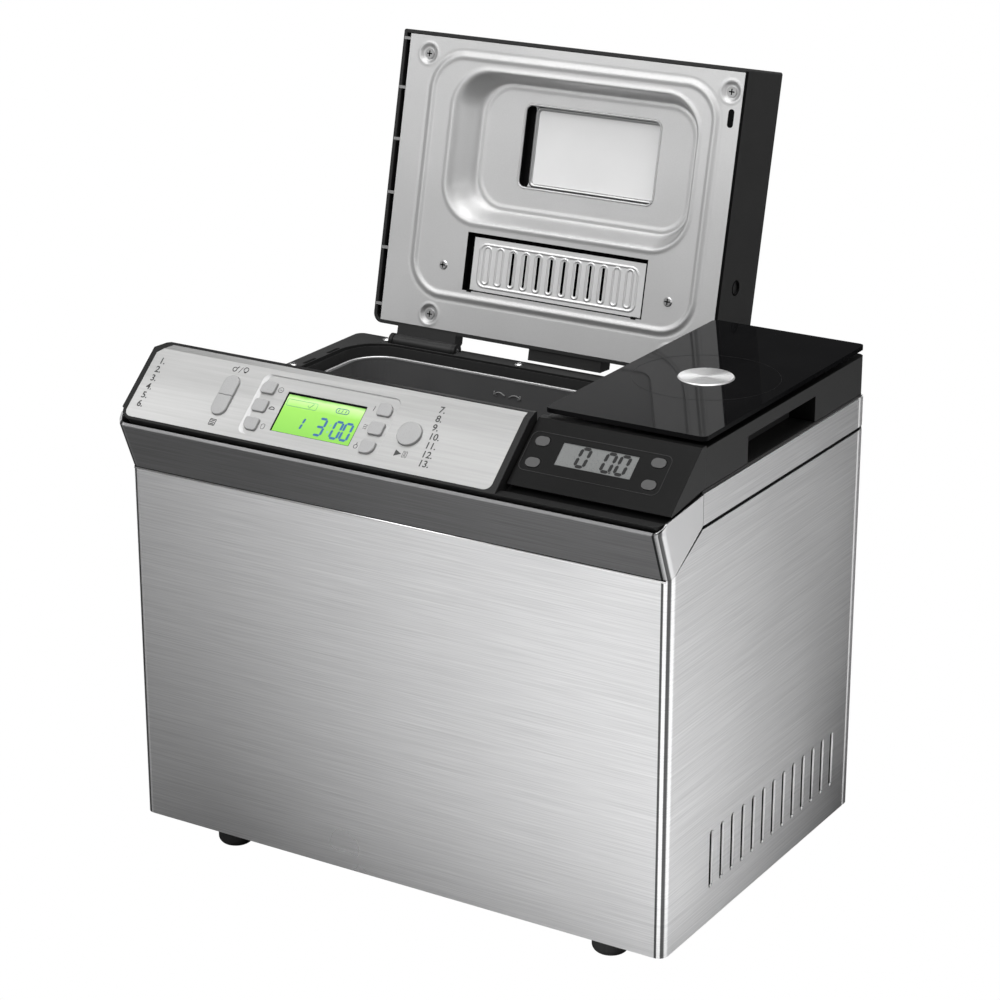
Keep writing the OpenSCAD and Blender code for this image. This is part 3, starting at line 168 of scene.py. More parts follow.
def spread(t, value, lo, hi, start=0.3, end=0.7):
    """Runs from lo to hi as the value goes from start to end."""
    r = t.nodes.new("ShaderNodeMapRange")
    r.inputs["From Min"].default_value = start
    r.inputs["From Max"].default_value = end
    r.inputs["To Min"].default_value = lo
    r.inputs["To Max"].default_value = hi
    t.links.new(value, r.inputs["Value"])
    return r.outputs["Result"]


def ramp(t, value, *stops):
    """Colour ramp; each stop is a position and a colour or grey."""
    r = t.nodes.new("ShaderNodeValToRGB")
    e = r.color_ramp.elements
    while len(e) > 1:
        e.remove(e[-1])
    e[0].position = stops[0][0]
    e[0].color = (*rgb(stops[0][1]), 1)
    for at, colour in stops[1:]:
        e.new(at).color = (*rgb(colour), 1)
    t.links.new(value, r.inputs["Fac"])
    return r.outputs["Color"]


def blend(t, amount, under, over, kind="MIX"):
    """Blends two colours; each one is a socket or a grey."""
    m = t.nodes.new("ShaderNodeMix")
    m.data_type = "RGBA"
    m.blend_type = kind
    for colour, socket in ((under, m.inputs[6]), (over, m.inputs[7])):
        if isinstance(colour, bpy.types.NodeSocket):
            t.links.new(colour, socket)
        else:
            socket.default_value = (*rgb(colour), 1)
    if isinstance(amount, bpy.types.NodeSocket):
        t.links.new(amount, m.inputs[0])
    else:
        m.inputs[0].default_value = amount
    return m.outputs[2]


def multiply(t, a, b):
    return blend(t, 1.0, a, b, "MULTIPLY")


def axis_of(t, node_type, output, axis):
    source = t.nodes.new(node_type)
    v = t.nodes.new("ShaderNodeSeparateXYZ")
    t.links.new(source.outputs[output], v.inputs[0])
    return v.outputs[axis]


def along(t, axis, start, end):
    """Runs from 0 to 1 between two places on an axis, given in millimetres."""
    place = axis_of(t, "ShaderNodeTexCoord", "Object", axis)
    return spread(t, place, 0.0, 1.0, start * MM, end * MM)


def facing_right(t, start, end):
    return spread(t, axis_of(t, "ShaderNodeNewGeometry", "True Normal", "X"), 0.0, 1.0, start, end)


def bump(t, p, height, strength, distance=0.0002, edge=0.0):
    """Grain on a surface whose edges look rounded by the radius edge, in metres."""
    b = t.nodes.new("ShaderNodeBump")
    if edge:
        e = t.nodes.new("ShaderNodeBevel")
        e.samples = 4
        e.inputs["Radius"].default_value = edge
        t.links.new(e.outputs["Normal"], b.inputs["Normal"])
    b.inputs["Strength"].default_value = strength
    b.inputs["Distance"].default_value = distance
    t.links.new(height, b.inputs["Height"])
    t.links.new(b.outputs["Normal"], p.inputs["Normal"])


def radial_tangent(t, p, amount):
    tan = t.nodes.new("ShaderNodeTangent")
    tan.direction_type = "RADIAL"
    tan.axis = "Z"
    p.inputs["Anisotropic"].default_value = amount
    t.links.new(tan.outputs[0], p.inputs["Tangent"])


# ---------------------------------------------------------------- kinds of surface
def brushed(name, c0, c1, rough, lines=(6, 6, 2300), streaks=(14, 14, 1300), strength=0.08, aniso=0.6):
    """Metal with fine brushed lines and coarser streaks of colour."""
    m, t, p, _ = new_material(name)
    fine = noise(t, lines, 4.0, 0.65)
    colour = ramp(t, noise(t, streaks, 3.0, 0.6), (0.25, c0), (0.75, c1))
    t.links.new(colour, p.inputs["Base Color"])
    t.links.new(spread(t, noise(t, (9, 9, 9), 2.0), *rough, 0.1, 0.9), p.inputs["Roughness"])
    p.inputs["Metallic"].default_value = 1.0
    radial_tangent(t, p, aniso)
    bump(t, p, fine, strength)
    return m


def satin(name, c0, c1, rough=(0.3, 0.42), grain=900, strength=0.1, metal=1.0, edge=0.0):
    """Plain metal with a fine grain."""
    m, t, p, _ = new_material(name)
    fine = noise(t, (grain,) * 3)
    t.links.new(ramp(t, noise(t, (14, 14, 14), 2.0), (0.3, c0), (0.7, c1)), p.inputs["Base Color"])
    t.links.new(spread(t, fine, *rough), p.inputs["Roughness"])
    p.inputs["Metallic"].default_value = metal
    bump(t, p, fine, strength, edge=edge)
    return m


def plastic(name, c0, c1, rough=(0.4, 0.55), grain=2200, strength=0.15, coat=0.0, spec=0.5, edge=0.0):
    """Plastic, paint, print, rubber or glass with a fine grain."""
    m, t, p, _ = new_material(name)
    fine = noise(t, (grain,) * 3, 2.0)
    t.links.new(ramp(t, noise(t, (22, 22, 22)), (0.3, c0), (0.7, c1)), p.inputs["Base Color"])
    t.links.new(spread(t, fine, *rough), p.inputs["Roughness"])
    p.inputs["Coat Weight"].default_value = coat
    p.inputs["Coat Roughness"].default_value = 0.05
    p.inputs["Specular IOR Level"].default_value = spec
    bump(t, p, fine, strength, 0.0001, edge)
    return m


def painted_corner_reflections(m, light=1.4, bend=6.5):
    """Painted reflections of polished bends: dark and light lines run down the upright corners."""
    t, p = m.node_tree, principled(m)
    right = ramp(t, along(t, "X", RIGHT - bend, RIGHT),
                 (0.0, 1.0), (0.03, 0.12), (0.22, 0.12), (0.29, light), (0.54, light),
                 (0.60, 0.14), (0.80, 0.16), (0.88, light), (0.97, light), (1.0, 1.0))
    left = ramp(t, along(t, "X", bend - RIGHT, -RIGHT),
                (0.0, 1.0), (0.04, 1.4), (0.22, 1.4), (0.30, 0.14), (0.52, 0.14),
                (0.62, 1.5), (0.97, 1.5), (1.0, 1.0))
    t.links.new(multiply(t, multiply(t, colour_of(p), right), left), p.inputs["Base Color"])


def painted_rear_fold_highlights(m):
    """Painted highlights: two light lines run down the fold at the rear right corner."""
    t, p = m.node_tree, principled(m)
    lines = ramp(t, along(t, "Y", 120.0, 130.0), (0.0, 0.0), (0.16, 0.0), (0.2, 1.0), (0.38, 1.0),
                 (0.42, 0.0), (0.72, 0.0), (0.78, 1.0), (1.0, 1.0))
    highlight_mask = multiply(t, lines, along(t, "X", RIGHT - 3.5, RIGHT - 3.0))
    t.links.new(blend(t, highlight_mask, colour_of(p), 0.86), p.inputs["Base Color"])
    t.links.new(spread(t, highlight_mask, 1.0, 0.0, 0.0, 1.0), p.inputs["Metallic"])


def painted_light_on_cheeks(m):
    """Painted shade and light: the band darkens to the right in front and is painted light where it faces
    right.
    """
    t, p = m.node_tree, principled(m)
    shade = ramp(t, along(t, "X", -100.0, 190.0), (0.0, 1.0), (0.4, 1.05), (1.0, 0.7))
    front = multiply(t, colour_of(p), shade)
    t.links.new(blend(t, facing_right(t, 0.25, 0.7), front, (0.72, 0.72, 0.725)), p.inputs["Base Color"])


def painted_shade_uphill(m):
    """Painted shade: the slopes that face up when the lid stands open are a little darker."""
    t, p = m.node_tree, principled(m)
    up = spread(t, axis_of(t, "ShaderNodeTexCoord", "Normal", "Z"), 0.0, 1.0, 0.1, 0.7)
    shade = ramp(t, up, (0.0, 1.0), (0.5, 0.8), (1.0, 0.7))
    t.links.new(multiply(t, colour_of(p), shade), p.inputs["Base Color"])


# Painted shade: the colour darkens towards the right end.
def painted_shade_to_the_right(m):
    t, p = m.node_tree, principled(m)
    shade = ramp(t, along(t, "X", -190.0, 80.0), (0.0, 0.92), (0.45, 0.76), (1.0, 0.62))
    t.links.new(multiply(t, colour_of(p), shade), p.inputs["Base Color"])


# Painted light: surfaces that face right are lighter, as if lit from that side.
def painted_light_right_side(m):
    t, p = m.node_tree, principled(m)
    t.links.new(blend(t, facing_right(t, 0.6, 0.9), colour_of(p), 0.034), p.inputs["Base Color"])


def spun(name):
    """Metal turned on a lathe: fine rings round the middle of the scale's disc."""
    _, t, p, _ = new_material(name)
    wave = t.nodes.new("ShaderNodeTexWave")
    wave.wave_type = "RINGS"
    wave.rings_direction = "Z"
    wave.inputs["Scale"].default_value = 900
    wave.inputs["Distortion"].default_value = 0.4
    t.links.new(coords(t, location=(-DISC_X * MM, -DISC_Y * MM, 0)), wave.inputs["Vector"])
    t.links.new(ramp(t, wave.outputs["Fac"], (0.0, 0.62), (1.0, 0.82)), p.inputs["Base Color"])
    p.inputs["Metallic"].default_value = 1.0
    p.inputs["Roughness"].default_value = 0.32
    radial_tangent(t, p, 0.92)
    bump(t, p, wave.outputs["Fac"], 0.15)


def lit_display(name):
    """Green display, lit from behind, with a painted highlight in a pale band near its top, darker again
    at its very top edge, and a little uneven.
    """
    _, t, p, _ = new_material(name)
    height = t.nodes.new("ShaderNodeMath")
    height.operation = "SUBTRACT"
    height.inputs[1].default_value = 0.08
    t.links.new(axis_of(t, "ShaderNodeTexCoord", "Generated", "Y"), height.inputs[0])
    uneven = t.nodes.new("ShaderNodeMath")
    uneven.operation = "MULTIPLY_ADD"
    uneven.inputs[1].default_value = 0.16
    t.links.new(noise(t, (60, 60, 60)), uneven.inputs[0])
    t.links.new(height.outputs[0], uneven.inputs[2])
    green = ramp(t, uneven.outputs[0], (0.0, (0.185, 0.44, 0.07)), (0.62, (0.235, 0.505, 0.085)),
                 (0.86, (0.42, 0.64, 0.26)), (0.96, (0.11, 0.33, 0.04)))
    t.links.new(green, p.inputs["Base Color"])
    t.links.new(green, p.inputs["Emission Color"])
    p.inputs["Emission Strength"].default_value = 0.42
    p.inputs["Roughness"].default_value = 0.12
    p.inputs["Coat Weight"].default_value = 0.4


# ---------------------------------------------------------------- materials
# metals
steel = brushed("steel", (0.60, 0.60, 0.605), (0.80, 0.80, 0.805), (0.25, 0.33))
# painted reflection lines down the upright corners of the steel
painted_corner_reflections(steel)
# painted highlight lines at the steel's rear fold
painted_rear_fold_highlights(steel)
dark_steel = brushed("dark_steel", (0.18, 0.18, 0.182), (0.27, 0.27, 0.273), (0.28, 0.36))
# painted shade across the band's front and painted light where it faces right, then painted reflection
# lines down its corners
painted_light_on_cheeks(dark_steel)
painted_corner_reflections(dark_steel, light=1.0)
painted_shade_uphill(satin("silver_sheet", 0.66, 0.71, (0.48, 0.58), 1100, 0.2))
satin("grille_sheet", 0.78, 0.82, (0.5, 0.6), 1100, 0.1)
satin("screw_metal", 0.40, 0.50, (0.3, 0.4))
satin("window_edge", 0.42, 0.48, (0.3, 0.4), 900, 0.05)
satin("field_edge", 0.50, 0.56, (0.6, 0.7), 900, 0.05, 0.7)
# painted highlight lines along edges of the body
satin("painted_highlight_line", 0.86, 0.92, (0.3, 0.36), 300, 0.02)
painted_shade_to_the_right(brushed("faceplate", (0.53, 0.53, 0.525), (0.61, 0.61, 0.605), (0.40, 0.48),
                            (6, 2300, 2300), (14, 500, 500), 0.05, 0.4))
satin("oven_sheet", 0.06, 0.09, (0.4, 0.55), 500)
satin("hardware", 0.66, 0.75, (0.2, 0.3), 600, 0.05, edge=0.0003)
satin("rim_coat", 0.50, 0.58, (0.34, 0.42), 600, 0.05)
satin("cast", (0.34, 0.34, 0.35), (0.42, 0.42, 0.43), (0.45, 0.6), 700, 0.3)
satin("heater_tube", (0.05, 0.045, 0.042), (0.08, 0.075, 0.07), (0.5, 0.65), 900, 0.3)
satin("bronze", (0.45, 0.30, 0.14), (0.52, 0.36, 0.18), (0.35, 0.5))
spun("spun_disc")
# plastics, rubber and coatings
# painted highlight on the rolled edges of the side vents
plastic("vent_edge_highlight", 0.84, 0.90, (0.4, 0.5), 600, 0.05)
plastic("black_plastic", 0.011, 0.014, (0.32, 0.42), 2200, 0.1, 0.0, 0.22, 0.0006)
painted_light_right_side(plastic("face_plastic", 0.005, 0.0065, (0.30, 0.38), 2200, 0.06, 0.0, 0.10, 0.0007))
plastic("lid_black", 0.020, 0.024, (0.34, 0.44), 2200, 0.1, 0.0, 0.25, 0.0006)
plastic("deck_plastic", 0.026, 0.031, (0.5, 0.62), 2600, 0.25, 0.0, 0.25, 0.0005)
plastic("key_plastic", 0.33, 0.36, (0.26, 0.34), 1800, 0.05, 0.15, 0.5, 0.0009)
plastic("grey_plastic", 0.10, 0.12, (0.35, 0.45), 2200, 0.1, 0.0, 0.3)
plastic("face_grey", 0.06, 0.07, (0.35, 0.45), 2200, 0.1, 0.0, 0.3)
plastic("edge_grey", 0.22, 0.26, (0.4, 0.5))
plastic("rubber", 0.008, 0.012, (0.4, 0.5), 1500, 0.3)
plastic("non_stick", (0.070, 0.070, 0.071), (0.085, 0.085, 0.086), (0.42, 0.52), 1600, 0.3, 0.0, 0.4)
plastic("arrow_light", 0.18, 0.21, (0.4, 0.5), 1600, 0.1, 0.0, 0.4)
plastic("board", (0.02, 0.12, 0.05), (0.03, 0.15, 0.06), (0.3, 0.4))
# near black, used as painted shade in holes, gaps and recesses
plastic("void", 0.002, 0.004, (0.6, 0.8), 500, 0.1, 0.0, 0.05)
# glass and displays
black_glass = plastic("black_glass", (0.0035, 0.0035, 0.0038), (0.005, 0.005, 0.0053), (0.03, 0.05),
                      30, 0.0)
principled(black_glass).inputs["IOR"].default_value = 1.09
plastic("smoked_glass", (0.03, 0.032, 0.034), (0.04, 0.042, 0.044), (0.05, 0.08), 30, 0.0, 0.0, 0.8)
plastic("window_glass", 0.88, 0.92, (0.12, 0.18), 30, 0.0)
plastic("green_lcd", (0.2, 0.5, 0.08), (0.22, 0.55, 0.1), (0.2, 0.3))
plastic("grey_lcd", (0.135, 0.14, 0.138), (0.16, 0.165, 0.163), (0.25, 0.35), 1500, 0.05, 0.3)
plastic("lcd_blue", (0.02, 0.10, 0.26), (0.03, 0.12, 0.30), (0.3, 0.4))
plastic("lcd_pale", (0.20, 0.48, 0.22), (0.22, 0.52, 0.25), (0.3, 0.4))
lit_display("lcd_glow")
# print
plastic("ink", 0.02, 0.03, (0.4, 0.5))
plastic("pale_ink", 0.030, 0.040, (0.4, 0.5), 2200, 0.1, 0.0, 0.2)
plastic("face_ink", 0.022, 0.028, (0.5, 0.6), 2200, 0.1, 0.0, 0.1)
plastic("ring_ink", 0.014, 0.018, (0.4, 0.5), 2200, 0.1, 0.0, 0.1)

# each solid wears its slot's material, and a few wear a closer one
wears = {part["node"]: part["material_slot"] for part in RECORD["subparts"]}
wears.update({"scale_key_" + k: "face_grey" for k in "abcd"})
wears.update(scale_disc="spun_disc", lid_screws="screw_metal", lid_shell="lid_black")
wears.update(scale_housing="face_plastic")
for node, material in wears.items():
    NODES[node].data.materials.clear()
    NODES[node].data.materials.append(MAT[material])


# ---------------------------------------------------------------- pieces
def mesh_object(name, verts, faces, material, body, place=None, smooth=False):
    """Mesh from corners in millimetres, which rides on a body of the frame."""
    me = bpy.data.meshes.new(name)
    me.from_pydata([Vector(v) * MM for v in verts], [], faces)
    if place is not None:
        me.transform(place)
    me.validate()
    me.update()
    o = bpy.data.objects.new(name, me)
    bpy.context.scene.collection.objects.link(o)
    me.materials.append(MAT[material])
    if smooth:
        for f in me.polygons:
            f.use_smooth = True
    bpy.context.view_layer.update()
    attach(o, body)
    return o


def rectangle(x0, x1, y0, y1):
    return [(x0, y0), (x1, y0), (x1, y1), (x0, y1)]


def rounded(x0, x1, y0, y1, r, n=8):
    """Rectangle with corners of radius r, each of n steps."""
    pts = []
    centres = rectangle(x0 + r, x1 - r, y0 + r, y1 - r)
    for (cx, cy), a0 in zip(centres[1:] + centres[:1], (-90, 0, 90, 180)):
        for i in range(n + 1):
            a = math.radians(a0 + 90 * i / n)
            pts.append((cx + r * math.cos(a), cy + r * math.sin(a)))
    return pts


def circle(cx, cy, r, n=18):
    turns = [2 * math.pi * k / n for k in range(n)]
    return [(cx + r * math.cos(a), cy + r * math.sin(a)) for a in turns]


def at_height(pts, z):
    return [(x, y, z) for x, y in pts]


def on_lid(pts):
    """Turns (x, s) on the lid into (x, y) of the closed lid."""
    return [(x, LID_BACK - s) for x, s in pts]


def grown(area, *steps):
    """Area (x0, x1, s0, s1) with each side moved outwards; one step moves them all."""
    left, right, low, high = steps * 4 if len(steps) == 1 else steps
    return area[0] - left, area[1] + right, area[2] - low, area[3] + high


def prism(name, pts, z0, z1, material, body, place=None):
    n = len(pts)
    faces = [list(range(n))[::-1], list(range(n, 2 * n))]
    faces += [[i, (i + 1) % n, n + (i + 1) % n, n + i] for i in range(n)]
    return mesh_object(name, at_height(pts, z0) + at_height(pts, z1), faces, material, body, place)


def wall_between(name, a, b, material, body, place=None, smooth=True):
    """Strip that joins two rings with as many points."""
    n = len(a)
    faces = [[i, (i + 1) % n, n + (i + 1) % n, n + i] for i in range(n)]
    return mesh_object(name, a + b, faces, material, body, place, smooth)


def tube(name, path, r, material, body, place=None, closed=True, sides=10):
    """Round rod of radius r along a path."""
    pts = [Vector(p) for p in path]
    n = len(pts)
    verts, faces = [], []
    for i, p in enumerate(pts):
        before = pts[(i - 1) % n] if closed or i else pts[i]
        after = pts[(i + 1) % n] if closed or i < n - 1 else pts[i]
        d = (after - before).normalized()
        up = Vector((0, 0, 1)) if abs(d.z) < 0.9 else Vector((0, 1, 0))
        u = d.cross(up).normalized()
        w = u.cross(d).normalized()
        for k in range(sides):
            a = 2 * math.pi * k / sides
            verts.append(p + (u * math.cos(a) + w * math.sin(a)) * r)
    for i in range(n if closed else n - 1):
        j = (i + 1) % n
        for k in range(sides):
            m = (k + 1) % sides
            faces.append([i * sides + k, i * sides + m, j * sides + m, j * sides + k])
    if not closed:
        faces.append(list(range(sides))[::-1])
        faces.append([(n - 1) * sides + k for k in range(sides)])
    return mesh_object(name, verts, faces, material, body, place, True)


def rod(name, path, r, material, body, sides=8):
    """Tube along an open path, with capped ends."""
    return tube(name, path, r, material, body, None, False, sides)


def drawn_line(name, pts, r, material, body, place, z, closed=True):
    """Thin printed line through flat points at height z."""
    return tube(name, at_height(pts, z), r, material, body, place, closed, 6)


# ---------------------------------------------------------------- the pressed lid plate
def box_distance(x, s, area, r):
    """Distance from the edge of an area with corners of radius r; inside it is negative."""
    x0, x1, s0, s1 = area
    qx = abs(x - (x0 + x1) / 2) - (x1 - x0) / 2 + r
    qs = abs(s - (s0 + s1) / 2) - (s1 - s0) / 2 + r
    return math.hypot(max(qx, 0), max(qs, 0)) + min(max(qx, qs), 0) - r


def ease(t):
    """Smooth step from 0 to 1."""
    t = min(max(t, 0.0), 1.0)
    return t * t * t * (t * (6 * t - 15) + 10)


def hump(d, centre, half):
    """Smooth bump of height 1 that ends at a distance half from its centre."""
    u = abs(d - centre) / half
    return 0.0 if u >= 1 else (1 - u * u) ** 2


RING_AREA = (-160, 70, 24, 198)
RING_HIGH, RING_GROOVE = 0.85, 0.2
BOWL_AREA = (-139, 56, 80, 187)
BOWL_FLOOR_AREA = (-120, 48, 92, 179)
OUTER_R, FLOOR_R = 28, 22
BOWL_LIP, FLOOR_BEAD = 0.5, 0.4
DIMPLE_R, DIMPLE_DEEP, DIMPLE_RIM = 7.2, 1.7, 0.3


def plate_depth(x, s):
    """How far the plate is pressed into the lid: ring, bowl and screw dimples."""
    ring = box_distance(x, s, RING_AREA, OUTER_R)
    h = RING_GROOVE * hump(ring, 0.6, 1.0) - RING_HIGH * hump(ring, -3.4, 3.0)
    outside = box_distance(x, s, BOWL_AREA, OUTER_R)
    to_floor = box_distance(x, s, BOWL_FLOOR_AREA, FLOOR_R)
    if outside < 0:
        slope = outside / (outside - max(to_floor, 0.0))
        h += BOWL_DEEP * ease(slope) - FLOOR_BEAD * hump(to_floor, -1.2, 2.6)
    h -= BOWL_LIP * hump(outside, -0.5, 3.2)
    for screw_x, screw_s in CORNER_SCREWS:
        r = math.hypot(x - screw_x, s - screw_s)
        h += DIMPLE_DEEP * ease((DIMPLE_R - r) / 2.8) - DIMPLE_RIM * hump(r, DIMPLE_R + 0.4, 1.4)
    return h


def cut_from_plate(x, s):
    x0, x1, s0, s1 = GRILLE_HOLE
    return box_distance(x, s, WINDOW, 5.0) < 0 or (x0 < x < x1 and s0 < s < s1)


def grid_lines(lo, hi, step, *kept):
    """Evenly spaced lines from lo to hi, moved to pass through the kept values."""
    n = max(1, round((hi - lo) / step))
    lines = [lo + (hi - lo) * i / n for i in range(n + 1)]
    lines = [v for v in lines if all(abs(v - e) > step * 0.35 for e in kept)]
    return sorted(lines + [e for e in kept if lo < e < hi])


def pressed_sheet(name, xs, ss, depth, cut, base, material, node):
    """Sheet of the lid whose height follows depth(x, s); it takes the place of a CAD node."""
    verts = [(x, LID_BACK - s, base + depth(x, s)) for s in ss for x in xs]
    nx = len(xs)
    faces = []
    for j in range(len(ss) - 1):
        for i in range(nx - 1):
            if not cut((xs[i] + xs[i + 1]) / 2, (ss[j] + ss[j + 1]) / 2):
                a = j * nx + i
                faces.append([a, a + 1, a + nx + 1, a + nx])
    sheet = mesh_object(name, verts, faces, material, "lid", OPENED, True)
    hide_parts(node)


plate_step = 0.9
pressed_sheet("plate_skin", grid_lines(LID_X0 + 6, LID_X1 - 2.5, plate_step, *GRILLE_HOLE[:2]),
              grid_lines(2.6, 206, plate_step, *GRILLE_HOLE[2:]),
              plate_depth, cut_from_plate, LID_Z, "silver_sheet", "lid_plate")
for i, s in enumerate((14.7, 55.0, 94.5, 132.5, 169.0, 203.5)):
    prism(f"edge_tab_{i}", rectangle(LID_X0 + 0.6, LID_X0 + 6.2, LID_BACK - s, LID_BACK - s + 2),
          LID_Z - 0.02, LID_Z + 1.2, "edge_grey", "lid", OPENED)


# ---------------------------------------------------------------- the lid's window
def window_ring(area, r, z):
    return at_height(on_lid(rounded(*area, r)), z)


# painted shade: the throat of the window is near black, as its wall lies in shadow
wall_between("window_throat", window_ring(WINDOW, 5, FLOOR_Z - 0.1),
             window_ring(grown(WINDOW, -0.6), 4.6, FLOOR_Z + 5), "void", "lid", OPENED)
tube("window_roll", window_ring(grown(WINDOW, 0.3), 5.3, FLOOR_Z + 0.3), 0.9,
     "silver_sheet", "lid", OPENED)
tube("window_bead", window_ring(grown(WINDOW, -6.8, -1.0, -1.6, -1.6), 4.0, FLOOR_Z + 5.4), 1.6,
     "window_edge", "lid", OPENED, True, 16)
shade = (WINDOW[0] + 0.6, WINDOW[0] + 5.4, WINDOW[2] + 0.6, WINDOW[3] - 0.6)
prism("window_shade", on_lid(rounded(*shade, 2))[::-1], FLOOR_Z + 5.0, FLOOR_Z + 5.15,
      "void", "lid", OPENED)
pane = prism("window_pane", on_lid(rounded(*grown(WINDOW, 3), 4))[::-1], FLOOR_Z + 5.2, FLOOR_Z + 7.2,
             "window_glass", "lid", OPENED)
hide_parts("lid_window")

# ---------------------------------------------------------------- the lid's steam grille
# an embossed frame and twelve slots, of which the middle eight are pierced
SLOT_COUNT = 12
PIERCED = slice(2, 10)
SLOT_MARGIN = 11.5
SLOT_S = 52.2
SLOT_WIDTH, SLOT_LENGTH = 5.0, 26
CUT_WIDTH, CUT_LENGTH = 2.0, 23
slot_pitch = (GRILLE[1] - GRILLE[0] - 2 * SLOT_MARGIN) / (SLOT_COUNT - 1)
slot_x = [GRILLE[0] + SLOT_MARGIN + i * slot_pitch for i in range(SLOT_COUNT)]
FRAME_AREA = grown(GRILLE, -5.4, -5.4, -3.4, -4.2)


def slot_distance(x, s, cx, width, length):
    """Distance from the edge of a slot with round ends; inside it is negative."""
    return math.hypot(x - cx, max(abs(s - SLOT_S) - (length - width) / 2, 0)) - width / 2


def pierced(x, s):
    return any(slot_distance(x, s, cx, CUT_WIDTH, CUT_LENGTH) < 0 for cx in slot_x[PIERCED])


def grille_depth(x, s):
    h = -0.34 * hump(box_distance(x, s, FRAME_AREA, 5), 0.0, 1.1)
    for cx in slot_x:
        if abs(x - cx) < SLOT_WIDTH:
            h -= 0.42 * hump(slot_distance(x, s, cx, SLOT_WIDTH, SLOT_LENGTH), 0.0, 0.95)
    return h


grille_step = 0.35
pressed_sheet("grille_skin", grid_lines(*GRILLE[:2], grille_step), grid_lines(*GRILLE[2:], grille_step),
              grille_depth, pierced, LID_Z + 3.4, "grille_sheet", "lid_grille")
# painted shade: the well under the grille is near black
hole = on_lid(rectangle(*GRILLE_HOLE))
well_z = LID_Z + 6
wall_between("grille_well", at_height(hole, LID_Z), at_height(hole, well_z), "void", "lid", OPENED, False)
prism("grille_dark", hole[::-1], well_z, well_z + 1, "void", "lid", OPENED)
for i, x in enumerate((GRILLE[0] + 1.5, GRILLE[1] - 3.5)):
    prism(f"grille_tab_{i}", rectangle(x - 2, x + 2, LID_BACK - 34.0, LID_BACK - 32.2),
          LID_Z - 0.1, LID_Z + 2, "void", "lid", OPENED)

# ---------------------------------------------------------------- edges, screws and holes of the lid
prism("rim_shade", rectangle(LID_X1 - 2.3, LID_X1 - 0.3, LID_BACK - 207, LID_BACK - 3),
      LID_Z - 0.04, LID_Z + 0.4, "void", "lid", OPENED)
# painted shade in the cross recesses of the screws
CROSS_LONG, CROSS_WIDE = 2.1, 0.45
heads = [(x, s, LID_Z + 0.86) for x, s in CORNER_SCREWS]
heads += [(x, s, LID_Z - 1.03) for x, s in PLATE_SCREWS]
for i, (x, s, z) in enumerate(heads):
    for k, (a, b) in enumerate(((CROSS_LONG, CROSS_WIDE), (CROSS_WIDE, CROSS_LONG))):
        prism(f"screw_cross_{i}_{k}", rectangle(x - a, x + a, LID_BACK - s - b, LID_BACK - s + b),
              z, z + 0.1, "void", "lid", OPENED)
OVAL_X, OVAL_S = 77.6, 175
oval = rounded(OVAL_X - 2.2, OVAL_X + 2.2, LID_BACK - OVAL_S - 6.2, LID_BACK - OVAL_S + 6.2, 2.15)
prism("oval_slot", oval, LID_Z - 0.05, LID_Z + 0.5, "void", "lid", OPENED)
plug = [(LID_X1 - 0.2, y, z) for y, z in circle(LID_BACK - 62.6, LID_Z + 21, 4.9, 24)]
tube("side_plug", plug, 0.5, "void", "lid", OPENED)

# ---------------------------------------------------------------- bread pan and deck
RIM_HALF_X, RIM_HALF_Y, RIM_R = 121.9, 90.4, 26
rim = rounded(PAN_X - RIM_HALF_X, PAN_X + RIM_HALF_X, PAN_Y - RIM_HALF_Y, PAN_Y + RIM_HALF_Y, RIM_R, 14)
tube("pan_rim", at_height(rim, PAN_TOP - 0.8), 1.2, "rim_coat", "pan", None, True, 12)
# painted shade: dark line round the opening of the deck, where its edge drops into shadow, between two
# areas (x0, x1, y0, y1)
LIP_OUTSIDE, LIP_OUTSIDE_R = (-187.5, 86.5, -93.3, 119.5), 31
LIP_INSIDE, LIP_INSIDE_R = (-182.2, 82.2, -92.2, 115.2), 28.2
lip_z = DECK_Z + 0.06
wall_between("deck_lip", at_height(rounded(*LIP_OUTSIDE, LIP_OUTSIDE_R, 14), lip_z),
             at_height(rounded(*LIP_INSIDE, LIP_INSIDE_R, 14), lip_z), "void", "machine", None, False)


def turn_arrow(name, x0, x1, y, z):
    """Curved arrow on the far wall of the pan, with its head at x1."""
    steps = 12
    way = [i / steps for i in range(steps + 1)]
    path = [(x0 + (x1 - x0) * w, y, z + 2.0 * math.sin(math.pi * w)) for w in way]
    rod(name, path, 0.5, "arrow_light", "pan")
    ahead = 1 if x1 > x0 else -1
    head = [(x1 - ahead * 2.6, y, z - 0.6), (x1, y, z), (x1 - ahead * 0.6, y, z + 2.6)]
    rod(name + "_head", head, 0.45, "arrow_light", "pan")


turn_arrow("turn_arrow_0", PAN_X - 5.0, PAN_X - 14.0, PAN_Y + 85.95, PAN_TOP - 11.8)
turn_arrow("turn_arrow_1", PAN_X - 1.7, PAN_X + 7.8, PAN_Y + 85.9, PAN_TOP - 12.2)


# ---------------------------------------------------------------- numbers of the programs
def number(n, x, v):
    """Printed number with a full stop; its left edge is at x."""
    c = bpy.data.curves.new(f"number_{n}", "FONT")
    c.body = f"{n}."
    c.size = 6.6 * MM
    c.offset = 0.11 * MM
    c.extrude = 0.02 * MM
    c.align_x = "LEFT"
    c.align_y = "CENTER"
    c.materials.append(MAT["ink"])
    o = bpy.data.objects.new(f"number_{n}", c)
    bpy.context.scene.collection.objects.link(o)
    o.matrix_world = ON_PANEL @ Matrix.Translation((x * MM, v * MM, 0.03 * MM))
    bpy.context.view_layer.update()
    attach(o, "machine")


def number_column(first, count, x, lean, top, low):
    """Column of numbers that leans to the right; top and low are shares of the print's length."""
    for i in range(count):
        number(first + i, x + lean * i, (top + (low - top) * i / (count - 1)) * PRINT_LEN)


